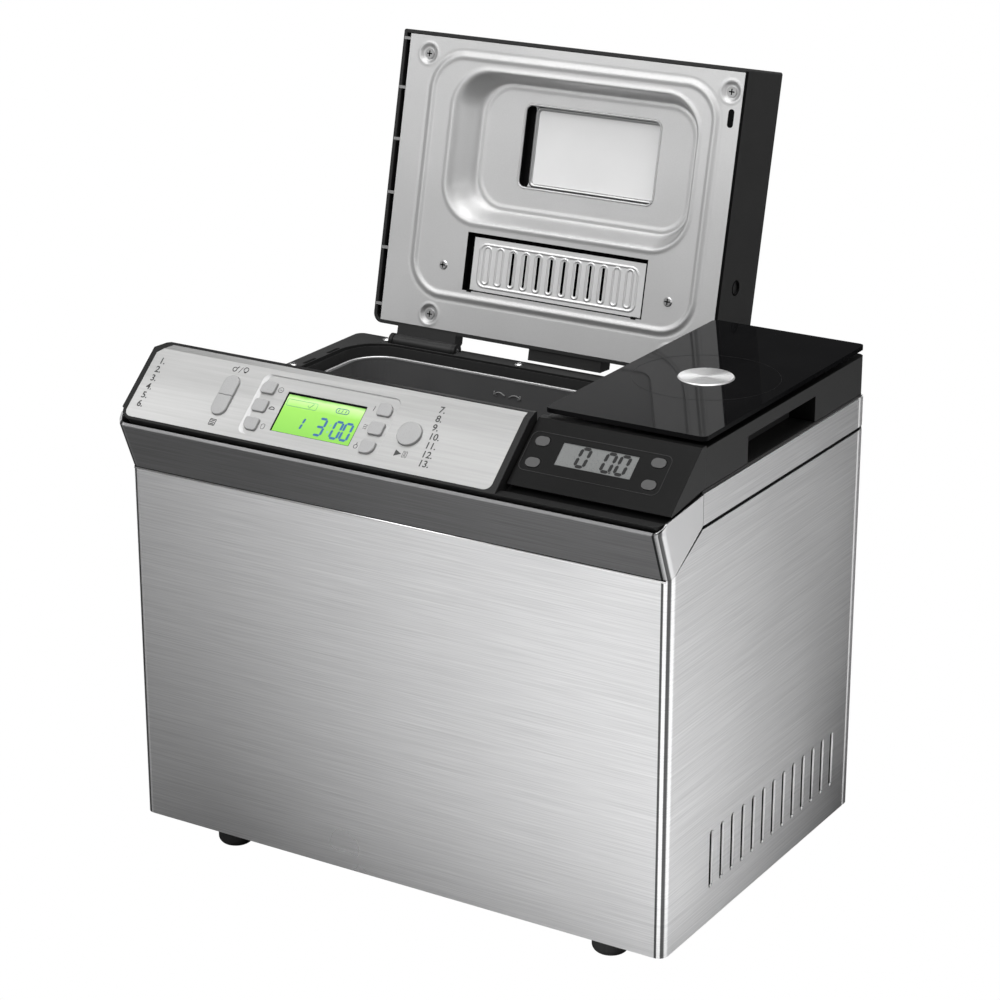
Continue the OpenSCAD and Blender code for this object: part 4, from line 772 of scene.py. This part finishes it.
number_column(1, 6, 10.0 - RIGHT, 0.0, 0.79, 0.21)
number_column(7, 7, 23.8, 0.5, 0.85, 0.178)

# ---------------------------------------------------------------- display of the control panel
# bars of the seven-segment digits that the displays show
SEGMENTS = {"0": "abcdef", "1": "bc", "3": "abgcd"}


def bar(a, b, t):
    """Corners of a bar of width t with pointed ends, from a to b."""
    (x0, y0), (x1, y1) = a, b
    n = math.hypot(x1 - x0, y1 - y0)
    ux, uy = (x1 - x0) / n, (y1 - y0) / n
    px, py = -uy * t / 2, ux * t / 2
    e = t * 0.45
    left_side = [(x0 + ux * e + px, y0 + uy * e + py), (x1 - ux * e + px, y1 - uy * e + py)]
    right_side = [(x1 - ux * e - px, y1 - uy * e - py), (x0 + ux * e - px, y0 + uy * e - py)]
    return [(x0, y0), *left_side, (x1, y1), *right_side][::-1]


def digit_bars(ch, left, low, w, h, t):
    g = t * 0.12
    right, mid, top = left + w, low + h / 2, low + h
    ends = {"a": ((left + g, top), (right - g, top)), "b": ((right, mid + g), (right, top - g)),
            "c": ((right, low + g), (right, mid - g)), "d": ((left + g, low), (right - g, low)),
            "e": ((left, low + g), (left, mid - g)), "f": ((left, mid + g), (left, top - g)),
            "g": ((left + g, mid), (right - g, mid))}
    return [bar(*ends[s], t) for s in SEGMENTS[ch]]


def flat_shapes(name, shapes, slant, z, material, body, place):
    """Flat polygons in one mesh, slanted to the right as they go up."""
    verts, faces = [], []
    for shape in shapes:
        faces.append(list(range(len(verts), len(verts) + len(shape))))
        verts.extend((x + slant * y, y, z) for x, y in shape)
    mesh_object(name, verts, faces, material, body, place)


def digits(name, text, x, y, size, material, body, place, z, slant, gap=0.0):
    """Seven-segment digits from the corner x, y; size is their width, height and bar width."""
    w, h, t = size
    shapes = [b for i, ch in enumerate(text) for b in digit_bars(ch, x + i * (w + gap), y, w, h, t)]
    flat_shapes(name, shapes, slant, z, material, body, place)


def display_part(name, x0, x1, v0, v1, z0=LCD_Z - 0.1, z1=LCD_Z + 0.04, material="void"):
    """Slab of the display; x and v are measured from its middle."""
    area = rectangle(LCD_X + x0, LCD_X + x1, LCD_V + v0, LCD_V + v1)
    prism(name, area, z0, z1, material, "machine", ON_PANEL)


def display_line(name, pts, r, material="lcd_blue", closed=True):
    pts = [(LCD_X + x, LCD_V + v) for x, v in pts]
    drawn_line(name, pts, r, material, "machine", ON_PANEL, LCD_Z + 0.05, closed)


def field_ring(x0, x1, v0, v1, r, z):
    """Edge of the sunken field; x and v are measured from the display's middle."""
    return at_height(rounded(LCD_X + x0, LCD_X + x1, LCD_V + v0, LCD_V + v1, r), z)


wall_between("field_bevel", field_ring(-52.1, 52.1, -21.1, 24.1, 5.1, 0.03),
             field_ring(-49.0, 51.4, -20.6, 23.6, 4.4, -0.79), "field_edge", "machine", ON_PANEL)
half_w, half_h = 29.9, 14.7
display_part("lcd_shade_top", -half_w, half_w, half_h - 1.5, half_h)
display_part("lcd_shade_right", half_w - 0.6, half_w, -half_h, half_h)
display_part("lcd_shade_left", -half_w, 1.0 - half_w, -half_h, half_h)
display_part("lcd_shade_low", -half_w, half_w, -half_h, 0.4 - half_h)
display_part("lcd_face", -half_w, half_w, -half_h, half_h, LCD_Z - 0.3, LCD_Z, "lcd_glow")
on_display = ("machine", ON_PANEL, LCD_Z + 0.05)
TIME_V = LCD_V - 11.4
TIME_SLANT = 0.03
PROGRAM_DIGIT = (4.2, 8.6, 1.5)
TIME_DIGIT = (5.3, 12.0, 1.7)
digits("lcd_program", "1", LCD_X - 16.2, LCD_V - 10.0, PROGRAM_DIGIT, "lcd_blue", *on_display, 0.12)
digits("lcd_hours", "3", LCD_X + 0.6, TIME_V, TIME_DIGIT, "lcd_blue", *on_display, TIME_SLANT)
DOT = 0.825
dot_x = LCD_X + 9.9
dots = [rectangle(dot_x - DOT, dot_x + DOT, v - DOT, v + DOT) for v in (TIME_V + 3.6, TIME_V + 8.4)]
flat_shapes("lcd_colon", dots, TIME_SLANT, LCD_Z + 0.05, "lcd_pale", "machine", ON_PANEL)
digits("lcd_minutes", "00", LCD_X + 12.8, TIME_V, TIME_DIGIT, "lcd_blue", *on_display, TIME_SLANT, 2.1)
display_line("lcd_box", rounded(-27.8, -5.1, 5.2, 10.0, 0.8, 3), 0.18, "lcd_pale")
display_line("lcd_tick", [(-11.8, 7.6), (-10.3, 6.0), (-7.8, 9.4)], 0.24, "lcd_pale", False)
display_line("lcd_loaf", rounded(9.3, 18.7, 6.6, 10.0, 1.6, 4), 0.22)
for i in range(3):
    x = 11.0 + i * 2.6
    display_line(f"lcd_loaf_cut_{i}", [(x, 7.4), (x + 0.7, 9.2)], 0.2, "lcd_blue", False)

# ---------------------------------------------------------------- icons beside the keys
PRINT_Z = 0.03
FIELD_Z = -0.8 + PRINT_Z
KEY_PITCH = 13.8
KEY_V = 27.7


def icon(name, pts, closed=False, r=0.26, z=PRINT_Z):
    drawn_line("icon_" + name, pts, r, "ink", "machine", ON_PANEL, z, closed)


# above and below the rocker
x, v = ROCKER_X, 0.865 * PRINT_LEN
icon("bulb", circle(x + 5.2, v + 0.9, 1.7), True)
icon("bulb_foot", [(x + 4.4, v - 1.2), (x + 6.0, v - 1.2)])
icon("pan", circle(x - 3.4, v, 1.5), True)
icon("pan_arm", [(x - 2.2, v + 0.8), (x - 0.6, v + 2.4)])
icon("slash", [(x + 0.3, v - 2.0), (x + 2.2, v + 2.2)], r=0.16)
v = 0.165 * PRINT_LEN
icon("list_box", rounded(x - 2.2, x + 2.2, v - 2.2, v + 2.2, 0.3, 2), True)
for i in range(3):
    icon(f"list_{i}", [(x - 1.4, v - 1.3 + i * 1.3), (x + 1.4, v - 1.3 + i * 1.3)], r=0.3)
# right of the left keys
x, v = middle("key_a", 0) + 8.8, KEY_V + KEY_PITCH
icon("clock", circle(x, v, 1.9), True, 0.16, FIELD_Z)
icon("clock_hand", [(x - 1, v), (x + 1, v)], r=0.16, z=FIELD_Z)
v = KEY_V
half_turn = [a / 8 * math.pi for a in range(9)]
crust = [(x + 2.0 * math.cos(a), v - 0.8 + 1.8 * math.sin(a)) for a in half_turn]
icon("loaf", crust, True, 0.3, FIELD_Z)
v = KEY_V - KEY_PITCH
icon("weight", rounded(x - 1.3, x + 1.3, v - 1.8, v + 1.8, 0.9, 3), True, 0.16, FIELD_Z)
# left of the right keys
x, v = middle("key_d", 0) - 8.6, KEY_V + KEY_PITCH
icon("dash", [(x, v - 1.8), (x + 0.4, v + 1.8)], r=0.18, z=FIELD_Z)
for i in range(3):
    v = KEY_V + i * 1.3
    wave = [(x - 1.3, v - 1.3), (x - 0.4, v - 0.9), (x + 0.5, v - 1.4), (x + 1.3, v - 1.0)]
    icon(f"wave_{i}", wave, r=0.16, z=FIELD_Z)
v = KEY_V - KEY_PITCH
icon("hand", rounded(x - 1.3, x + 1.2, v - 2.0, v + 0.6, 1.0, 3), True, 0.16, FIELD_Z)
icon("hand_finger", [(x, v + 0.5), (x, v + 2.2)], r=0.2, z=FIELD_Z)
# below the start key
x, v = START_X, 0.245 * PRINT_LEN
triangle = [(x - 4.2, v - 2.3), (x + 0.6, v), (x - 4.2, v + 2.3)]
prism("icon_play", triangle, 0.0, PRINT_Z, "ink", "machine", ON_PANEL)
for i in range(2):
    left = x + 1.6 + i * 1.9
    icon(f"pause_{i}", rounded(left, left + 1.1, v - 2.2, v + 2.2, 0.4, 2), True, 0.14)

# ---------------------------------------------------------------- face and glass of the scale
OUTLINE_AREA = (88.8, 184.5, 11.5, 39.5)
drawn_line("face_outline", rounded(*OUTLINE_AREA, 4.5, 6), 0.2, "pale_ink", "scale", ON_FACE, 0.03)
face_x, face_v = FACE_LCD_X - 26, 0.555 * FACE_LEN - 8.2
on_face_lcd = ("scale", ON_FACE, -0.5)
FACE_DIGIT = (5.8, 12.8, 2.2)
digits("face_digits", "0", face_x + 12, face_v + 2.0, FACE_DIGIT, "face_ink", *on_face_lcd, 0.06)
digits("face_tenths", "00", face_x + 29.5, face_v + 2.0, FACE_DIGIT, "face_ink", *on_face_lcd, 0.06, 3.6)
prism("face_point", rectangle(face_x + 36.7, face_x + 38.0, face_v + 1.2, face_v + 2.5), -0.56, -0.5,
      "ink", "scale", ON_FACE)
ring = circle(DISC_X, DISC_Y, 47, 72)
drawn_line("glass_ring", ring, 0.08, "ring_ink", "platform", None, GLASS_Z + 0.02)

# ---------------------------------------------------------------- bright and dark lines of the body: painted highlights and painted shade
# painted highlight on the band's upper edge, which turns the right corner and climbs to the strip
band_edge_y, band_edge_z = band_low[1] + 0.4, 280.75
band_edge = [(side * (RIGHT - 8), band_edge_y, band_edge_z) for side in (-1, 1)]
rod("band_line", band_edge, 0.34, "painted_highlight_line", "machine")
CORNER_R, CORNER_STEPS, CORNER_RISE = 6.3, 6, 6.4
corner_x, corner_y = RIGHT - 6.7, band_low[1] + 6.8
ledge = []
for i in range(1, CORNER_STEPS + 1):
    a = math.pi / 2 * i / CORNER_STEPS
    ledge.append((corner_x + CORNER_R * math.sin(a), corner_y - CORNER_R * math.cos(a),
                  band_edge_z + 0.05 + CORNER_RISE * i / CORNER_STEPS))
ledge += [(RIGHT - 0.3, -118.0, 289.3), (RIGHT - 0.3, SEAM_Y - 0.6, 291.2)]
rod("band_line_end", ledge, 0.16, "painted_highlight_line", "machine")
# painted highlight along the top of the front panel, and painted shadow under the band's lower edge
for name, y, z, r, material, sides in (("panel_line_top", FRONT + 0.2, 248.2, 0.75, "painted_highlight_line", 10),
                                       ("panel_gap_top", FRONT, 249.15, 0.3, "void", 6)):
    rod(name, [(side * (RIGHT - 3.5), y, z) for side in (-1, 1)], r, material, "machine", sides)

# painted highlights on the rolled rear edges of the side vents, which turn forward at their lower ends
VENT_COUNT = 13
VENT_PITCH = 14.4
VENT_Z = 43.1
for i in range(VENT_COUNT):
    x, y, low = RIGHT - 0.65, FRONT + 63.2 + VENT_PITCH * i, VENT_Z - 17.6
    path = [(x, y, VENT_Z + 18.6), (x, y, low)]
    path += [(x, y - 1.8 * (1 - math.cos(a)), low - 1.8 * math.sin(a)) for a in (0.5, 1.0, 1.5)]
    rod(f"vent_edge_highlight_{i}", path, 0.58, "vent_edge_highlight", "machine", 10)
# the dark inside, seen through the seam under the strip and through the vents
prism("seam_shade", rectangle(RIGHT - 0.38, RIGHT - 0.2, SEAM_Y + 0.6, 124.0),
      WRAP_TOP + 0.15, DECK_Z - 0.1, "void", "machine")
prism("vent_shade", rectangle(RIGHT - 2.2, RIGHT - 1.8, -76.0, 106.0), 21.0, 65.0, "void", "machine")

# ---------------------------------------------------------------- stage, light and camera
scene = bpy.context.scene


def towards(t, coordinate, direction):
    """Dot product of a coordinate with a direction."""
    c = t.nodes.new("ShaderNodeTexCoord")
    dot = t.nodes.new("ShaderNodeVectorMath")
    dot.operation = "DOT_PRODUCT"
    dot.inputs[1].default_value = direction
    t.links.new(c.outputs[coordinate], dot.inputs[0])
    return dot.outputs["Value"]


def white_to_camera(t, lit, white, out):
    """The camera sees plain white, and everything else sees the lit shader."""
    path = t.nodes.new("ShaderNodeLightPath")
    mix = t.nodes.new("ShaderNodeMixShader")
    t.links.new(path.outputs["Is Camera Ray"], mix.inputs[0])
    t.links.new(lit.outputs[0], mix.inputs[1])
    t.links.new(white.outputs[0], mix.inputs[2])
    t.links.new(mix.outputs[0], out.inputs[0])


def floor_material():
    """Floor that the metal mirrors: dark at some places and light at others."""
    m, t, p, out = new_material("floor_white")

    def reach(x, y, start, end):
        return spread(t, towards(t, "Object", (x, y, 0)), 0.0, 1.0, start, end)

    ahead = ramp(t, reach(1.0, -1.0, 0.02, 0.46), (0.0, 0.17), (1.0, 0.84))
    beside = ramp(t, reach(1.0, -0.55, 0.12, 0.27), (0.0, 0.02), (1.0, 0.88))
    behind = multiply(t, reach(0.0, 1.0, 0.0, 0.15), reach(-1.0, 0.0, -0.16, -0.04))
    colour = blend(t, reach(0.0, 1.0, -0.12, -0.06), ahead, beside)
    t.links.new(blend(t, behind, colour, 0.62), p.inputs["Base Color"])
    p.inputs["Roughness"].default_value = 0.9
    white = t.nodes.new("ShaderNodeEmission")
    white.inputs["Color"].default_value = (1, 1, 1, 1)
    white.inputs["Strength"].default_value = 1.0
    white_to_camera(t, p, white, out)
    return m


FLOOR_SIZE = 12.0
feet_z = box_mm("feet")[0][2] * MM
floor_mesh = bpy.data.meshes.new("floor")
corners = rectangle(-FLOOR_SIZE / 2, FLOOR_SIZE / 2, -FLOOR_SIZE / 2, FLOOR_SIZE / 2)
floor_mesh.from_pydata(at_height(corners, feet_z), [], [[0, 1, 2, 3]])
floor_mesh.materials.append(floor_material())
floor = bpy.data.objects.new("floor", floor_mesh)
scene.collection.objects.link(floor)

world = bpy.data.worlds.new("studio")
scene.world = world
world.use_nodes = True
wt = world.node_tree
wt.nodes.clear()
sky = wt.nodes.new("ShaderNodeBackground")
sky.inputs["Color"].default_value = (0.8, 0.8, 0.8, 1)
glow = spread(wt, towards(wt, "Generated", (-0.53, 0.79, 0.32)), 0.45, 0.10, 0.80, 0.95)
wt.links.new(glow, sky.inputs["Strength"])
white_sky = wt.nodes.new("ShaderNodeBackground")
white_sky.inputs["Color"].default_value = (1, 1, 1, 1)
white_sky.inputs["Strength"].default_value = 1.0
white_to_camera(wt, sky, white_sky, wt.nodes.new("ShaderNodeOutputWorld"))


def softbox(name, loc, target, size, power):
    light = bpy.data.lights.new(name, "AREA")
    light.shape = "RECTANGLE"
    light.size = light.size_y = size
    light.energy = power
    o = bpy.data.objects.new(name, light)
    o.location = loc
    o.rotation_euler = (Vector(target) - Vector(loc)).to_track_quat("-Z", "Y").to_euler()
    scene.collection.objects.link(o)


softbox("key_light", (-0.9, -1.6, 1.9), (0, 0, 0.2), 1.4, 26)
softbox("right_light", (2.2, -0.4, 1.3), (0.1, 0, 0.2), 1.4, 9)
softbox("top_light", (0.1, 0.1, 2.3), (0, 0, 0.2), 1.8, 44)

# the camera that was fitted to the photo's edges: degrees below level, and right of straight ahead
CAMERA_DOWN, CAMERA_RIGHT = 19.88, 31.59
camera_data = bpy.data.cameras.new("camera")
camera_data.lens = 104.96
camera_data.sensor_width = 36
camera_data.clip_end = 50
camera = bpy.data.objects.new("camera", camera_data)
camera.location = (0.94557, -1.53589, 0.87385)
camera.rotation_euler = (math.radians(90 - CAMERA_DOWN), 0, math.radians(CAMERA_RIGHT))
scene.collection.objects.link(camera)
scene.camera = camera
scene.view_settings.view_transform = "Standard"
